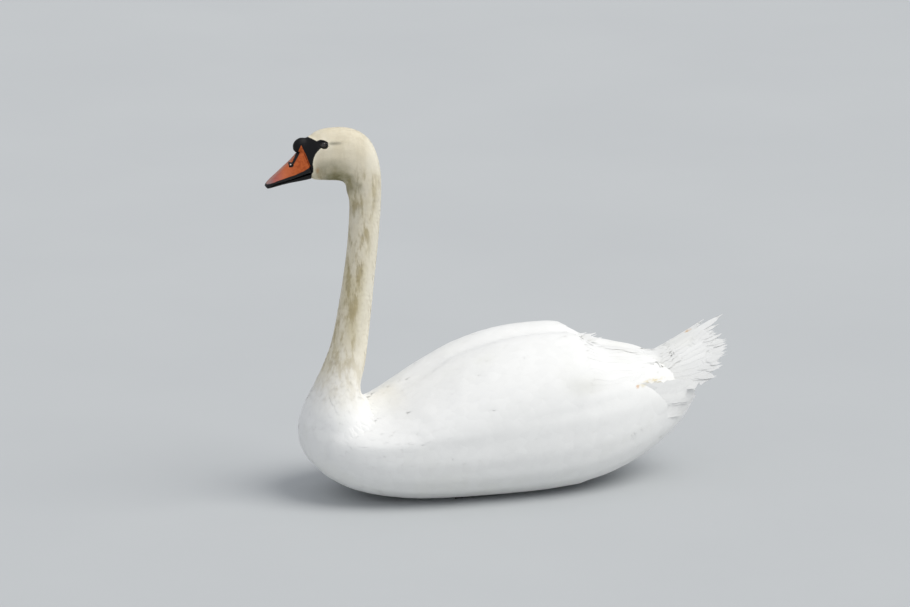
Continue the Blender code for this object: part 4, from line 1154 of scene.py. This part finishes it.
def fan_place(u, out):
    """Places on the fan at u across it and so many metres out, with the way up there and how many metres
    one unit of u is."""
    def ray(u):
        rise = np.radians(TAIL_RISE[0] - (TAIL_RISE[0] - TAIL_RISE[1]) * np.abs(u) ** RISE_CURVE)
        yaw = np.radians(TAIL_SPREAD * u)
        way = np.stack((np.sin(yaw) * np.cos(rise), np.cos(yaw) * np.cos(rise), np.sin(rise)), axis=1)
        root = TAIL_ROOT + np.stack((ROOT_SPREAD * u, 0 * u, -ROOT_DROP * u * u), axis=1)
        return root * MM + way * out[:, None], way
    inner = np.clip(u, -1.05, 1.05)
    place, way = ray(inner)
    beside = (ray(inner + 0.01)[0] - place) / 0.01
    place = place + beside * (u - inner)[:, None]
    return place, unit(np.cross(beside, way)), np.linalg.norm(beside, axis=1)


def lay_fan(coat, vane, u, start, end, width, lift, rng, upside=1):
    """One feather along the fan's line at u, from start to end in metres out. lift gives its height over
    the fan by the share of the fan's reach."""
    shape, faces = vane
    out = start + (end - start) * shape[:, 1]
    spread = fan_place(np.full(len(out), u), out)[2]
    place, up, _ = fan_place(u + shape[:, 0] * width / 2 / spread, out)
    rise = upside * lift(out / table(TAIL_REACH, u) / MM, u) + shape[:, 2] * TAIL_VANE
    done = place + up * rise[:, None]
    add_to(coat, done[None], up[None] * upside, faces, shape, done[:1], np.array([end - start]),
           np.array([width]), np.array([rng.random()]))


tail_coat = new_coat()
rng = np.random.default_rng(800)
tail_vanes = [blank(8, 28, FLIGHT, s, fray=0.05, slant=0.22, splits=0.04, thick=True, shaft=0.35)
              for s in (51, 52, 53, 54)]
order = sorted(range(TAIL_FEATHERS), key=lambda i: -abs(i - (TAIL_FEATHERS - 1) / 2))
for layer, i in enumerate(order):
    u = (-1.0 + (2 * i + 1) / TAIL_FEATHERS) * 0.98
    reach_out = table(TAIL_REACH, u) * MM * rng.uniform(0.975, 1.01)
    lay_fan(tail_coat, tail_vanes[i % 4], u, QUILL_START, reach_out, QUILL_WIDTH,
            lambda share, u: (layer - TAIL_FEATHERS / 2) * TAIL_LAYER, rng)
# frayed barbs at the tips, and the feathers that stand up
frayed_vanes = [blank(2, 5, POINTED, s, fray=0.15) for s in (55, 56, 57)]
for k in range(BARB_TUFTS):
    u = rng.uniform(-0.85, 0.96)
    reach_out = table(TAIL_REACH, u) * MM * rng.uniform(0.97, 1.022)
    height = rng.uniform(-0.6, 1.2) * MM
    start = reach_out - rng.uniform(0.018, 0.034)
    lay_fan(tail_coat, frayed_vanes[k % 3], u, start, reach_out, rng.uniform(0.0035, 0.007),
            lambda share, u: height, rng)
for path, width in STANDING:
    lay_quill(tail_coat, primary_vanes[0], np.array(path) * MM, width * MM, TAIL_VANE, 1.0,
              facing=STANDING_FACING)
finish_coat("tail_quills", tail_coat, vane_firm, 0.9)
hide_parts("tail")


def covert_lift(row, depth):
    """How far a row of coverts stands off the fan: by that depth at the root, less towards the sides."""
    def lift(share, u):
        near_root = np.clip(1 - share, 0, 1) ** 1.6
        return (0.0014 + depth * near_root * (1 - 0.6 * u * u)) * (0.55 + 0.15 * row)
    return lift


# Coverts over and under the fan: which way they face, how far out to the sides, how deep at the root,
# and their rows: where they end and start as shares of the fan's reach, how many, and their width.
COVERT_SIDES = (
    (1, 0.70, 0.0040, ((0.50, 0.30, 14, 0.024), (0.42, 0.25, 12, 0.024), (0.35, 0.21, 11, 0.022))),
    (-1, 0.96, 0.0145, ((0.72, 0.36, 14, 0.034), (0.60, 0.28, 14, 0.036), (0.46, 0.16, 13, 0.036),
                        (0.34, 0.08, 12, 0.036))))
# The rump's last feathers run from its end down on to the fan. How far out on the fan they end, and
# where they start on the rump: the share of their place across the fan, y, and how deep, in metres.
BRIDGE_OUT = (0.088, 0.122)
BRIDGE_STARTS = ((0.72, 0.226, 0.0040), (0.86, 0.250, 0.0024))
BRIDGE_LIFT, BRIDGE_WIDTH = (0.0016, 0.0020), 0.028

coverts = new_coat()
soft_vanes = [blank(6, 12, ROUNDED, s, fray=0.08, slant=0.18, splits=0.06, thick=True, shaft=0.25)
              for s in (61, 62, 63)]
for upside, wide, depth, rows in COVERT_SIDES:
    for number, (end, start, count, width) in enumerate(rows):
        for c in range(count):
            u = wide * (2 * (c + rng.uniform(0.2, 0.8)) / count - 1)
            whole = table(TAIL_REACH, u) * MM
            tip = (end + rng.uniform(-0.05, 0.05)) * whole
            lay_fan(coverts, soft_vanes[c % 3], u, (start - 0.06) * whole, tip, width,
                    covert_lift(number, depth), rng, upside)
for u in np.linspace(-0.92, 0.62, 15):
    (inner, outer), up, _ = fan_place(np.full(2, u), np.array(BRIDGE_OUT))
    lead = [np.array(outer_tree.ray_cast(Vector((inner[0] * share, y, 0.4)), Vector((0, 0, -1)))[0])
            for share, y, _ in BRIDGE_STARTS]
    path = [place - (0, 0, sunk) for place, (_, _, sunk) in zip(lead, BRIDGE_STARTS)]
    path += [inner + (0, 0, BRIDGE_LIFT[0]), outer + (0, 0, BRIDGE_LIFT[1])]
    lay_quill(coverts, soft_vanes[int(u * 20) % 3], path, BRIDGE_WIDTH, TAIL_VANE * 0.6, rng.random(),
              facing=np.concatenate((on_outline(np.array(lead))[1], up, up[1:])))
finish_coat("tail_coverts", coverts, down_soft, 0.9)

# ---------------------------------------------------------------- loose plumes
# Soft plumes where the coat isn't smooth: along the tail's root and under it, a few wisps low on the
# flank, the under-tail coverts between flank and tail, and the ruffled tips of the tertials on the back.
plumes = new_coat()
rng = np.random.default_rng(900)
plume_vanes = [blank(4, 8, BROAD, s, fray=0.10, splits=0.10) for s in (71, 72, 73)]
wisp_vanes = [blank(4, 6, NARROW, s, fray=0.16, splits=0.2) for s in (74, 75, 76)]
# By kind: the box of roots (y, z) in mm, how many, lie (outward, back, up), length, width, lift and the
# share kept straight.
PLUMES = (((234, 280), (132, 184), 34, (-0.36, 0.92, 0.10), 52, 25, 3.6, 0.45, plume_vanes),
          ((258, 325), (120, 168), 40, (-0.46, 0.82, 0.34), 40, 20, 2.4, 0.30, plume_vanes),
          ((196, 222), (108, 122), 4, (0.25, 0.75, -0.60), 16, 3, 5.0, 0.8, wisp_vanes))
# Each side's under-tail coverts close the gap between the flank and the tail's edge: four rows that run
# from one line to the other, both given from the top down as (x, y, z) in mm. Each row starts and ends at
# those shares of the way, the first row innermost.
FLANK_LINE = ((96, 236, 176), (95, 248, 154), (88, 266, 124))
RIM_LINE = ((79, 334, 173), (74, 331, 147), (62, 318, 117))
SHEET_ROWS = ((0.46, 1.02), (0.24, 0.82), (0.02, 0.60), (-0.20, 0.38))
SHEET_WIDTH, SHEET_VANE = 24 * MM, 0.15 * MM
SHEET_BULGE, SHEET_STEP = 2.0 * MM, 0.5 * MM
SHEET_LIGHT = (0.0, -0.12, 0.22)  # their shading leans this way, as their loose barbs let light through
EDGE_WIDTH, PLUME_VANE = 20 * MM, 0.5 * MM
# The tertials' ruffled tips, from (x, y, z) to (x, y, z) in mm, with their width in mm.
RUFFLES = (((-17, 130, 241), (-14, 163, 249.5), 19), ((-14, 148, 239), (-10, 178.5, 249), 18),
           ((2, 150, 240), (5, 176, 250), 11), ((6, 160, 238), (6, 186, 245.5), 9),
           ((-4, 160, 238), (-2, 187, 243), 10), ((-9, 120, 243), (-6, 150, 250), 17))
RUFFLE_FACING = (0.2, -0.3, 0.93)


def sheet_place(a, t):
    """The place on the left sheet at a share down it and t back along it."""
    first, last = (np.array([np.interp(a * 2, (0, 1, 2), [p[k] for p in line]) for k in range(3)]) * MM
                   for line in (FLANK_LINE, RIM_LINE))
    return first + (last - first) * t


for side in (1, -1):
    for (y0, y1), (z0, z1), count, way, length, width, lift, free, vanes in PLUMES:
        y, z = rng.uniform(y0, y1, count) * MM, rng.uniform(z0, z1, count) * MM
        starts = [Vector((side * 0.3, a, b)) for a, b in zip(y, z)]
        hits = [skin_tree.ray_cast(p, Vector((-side, 0, 0)), 0.3)[0] for p in starts]
        roots, normal, _ = on_skin(np.array([h for h in hits if h]))
        n = len(roots)
        lie = unit(np.array((way[0] * side, way[1], way[2])) + rng.normal(0, 0.07, (n, 3)))
        kind = rng.integers(0, 3, n)
        for k in range(3):
            mine = kind == k
            if mine.any():
                m = int(mine.sum())
                lay(plumes, vanes[k], roots[mine], lie[mine], normal[mine],
                    length * MM * rng.uniform(0.85, 1.1, m), width * MM * rng.uniform(0.85, 1.15, m),
                    lift * MM * rng.uniform(0.8, 1.1, m), width * MM * 0.05, 910 + k, 1.8, free)
for side in (1, -1):
    mirror = np.array((side, 1, 1))
    for start, end in SHEET_ROWS:
        for a in np.linspace(-0.03, 0.91, 13) + rng.normal(0, 0.010, 13):
            way = sheet_place(a, 1.0) - sheet_place(a, 0.0)
            down = sheet_place(a + 0.08, start + 0.3) - sheet_place(a - 0.08, start + 0.3)
            out = unit(np.cross(down, way))
            lit = unit(unit(np.cross((0.0, 0.25, -1.0), way)) + SHEET_LIGHT)
            grow = end + rng.uniform(-0.025, 0.02)
            path = []
            for t in np.linspace(start, grow, 6):
                bulge = SHEET_BULGE * math.sin(math.pi * min(max(t, 0), 1)) - start * SHEET_STEP
                path.append((sheet_place(a, t) + out * bulge) * mirror)
            lay_quill(plumes, plume_vanes[int(a * 50) % 3], path, SHEET_WIDTH, SHEET_VANE, rng.random(),
                      facing=out * mirror, shade=lit * mirror)
    # behind the tail's edge they turn in to the rump's round end
    for a in np.linspace(0.0, 0.9, 12):
        last = sheet_place(a, 1.0) - (0.002, 0.004, 0.0)
        turned_in = last * (0.2, 1.035, 0.99)
        path = [(last + (turned_in - last) * t) * mirror for t in np.linspace(0.0, 1.0, 6)]
        lay_quill(plumes, plume_vanes[int(a * 50) % 3], path, EDGE_WIDTH, PLUME_VANE, rng.random(),
                  facing=unit(np.array((0.25 * side, 0.95, 0.2))))
for root, tip, width in RUFFLES:
    path = [np.array(root) * MM * (1 - t) + np.array(tip) * MM * t for t in np.linspace(0, 1, 5)]
    lay_quill(plumes, wisp_vanes[0], path, width * MM, PLUME_VANE, 1.0, facing=RUFFLE_FACING)
finish_coat("loose_plumes", plumes, down_soft, 0.8)
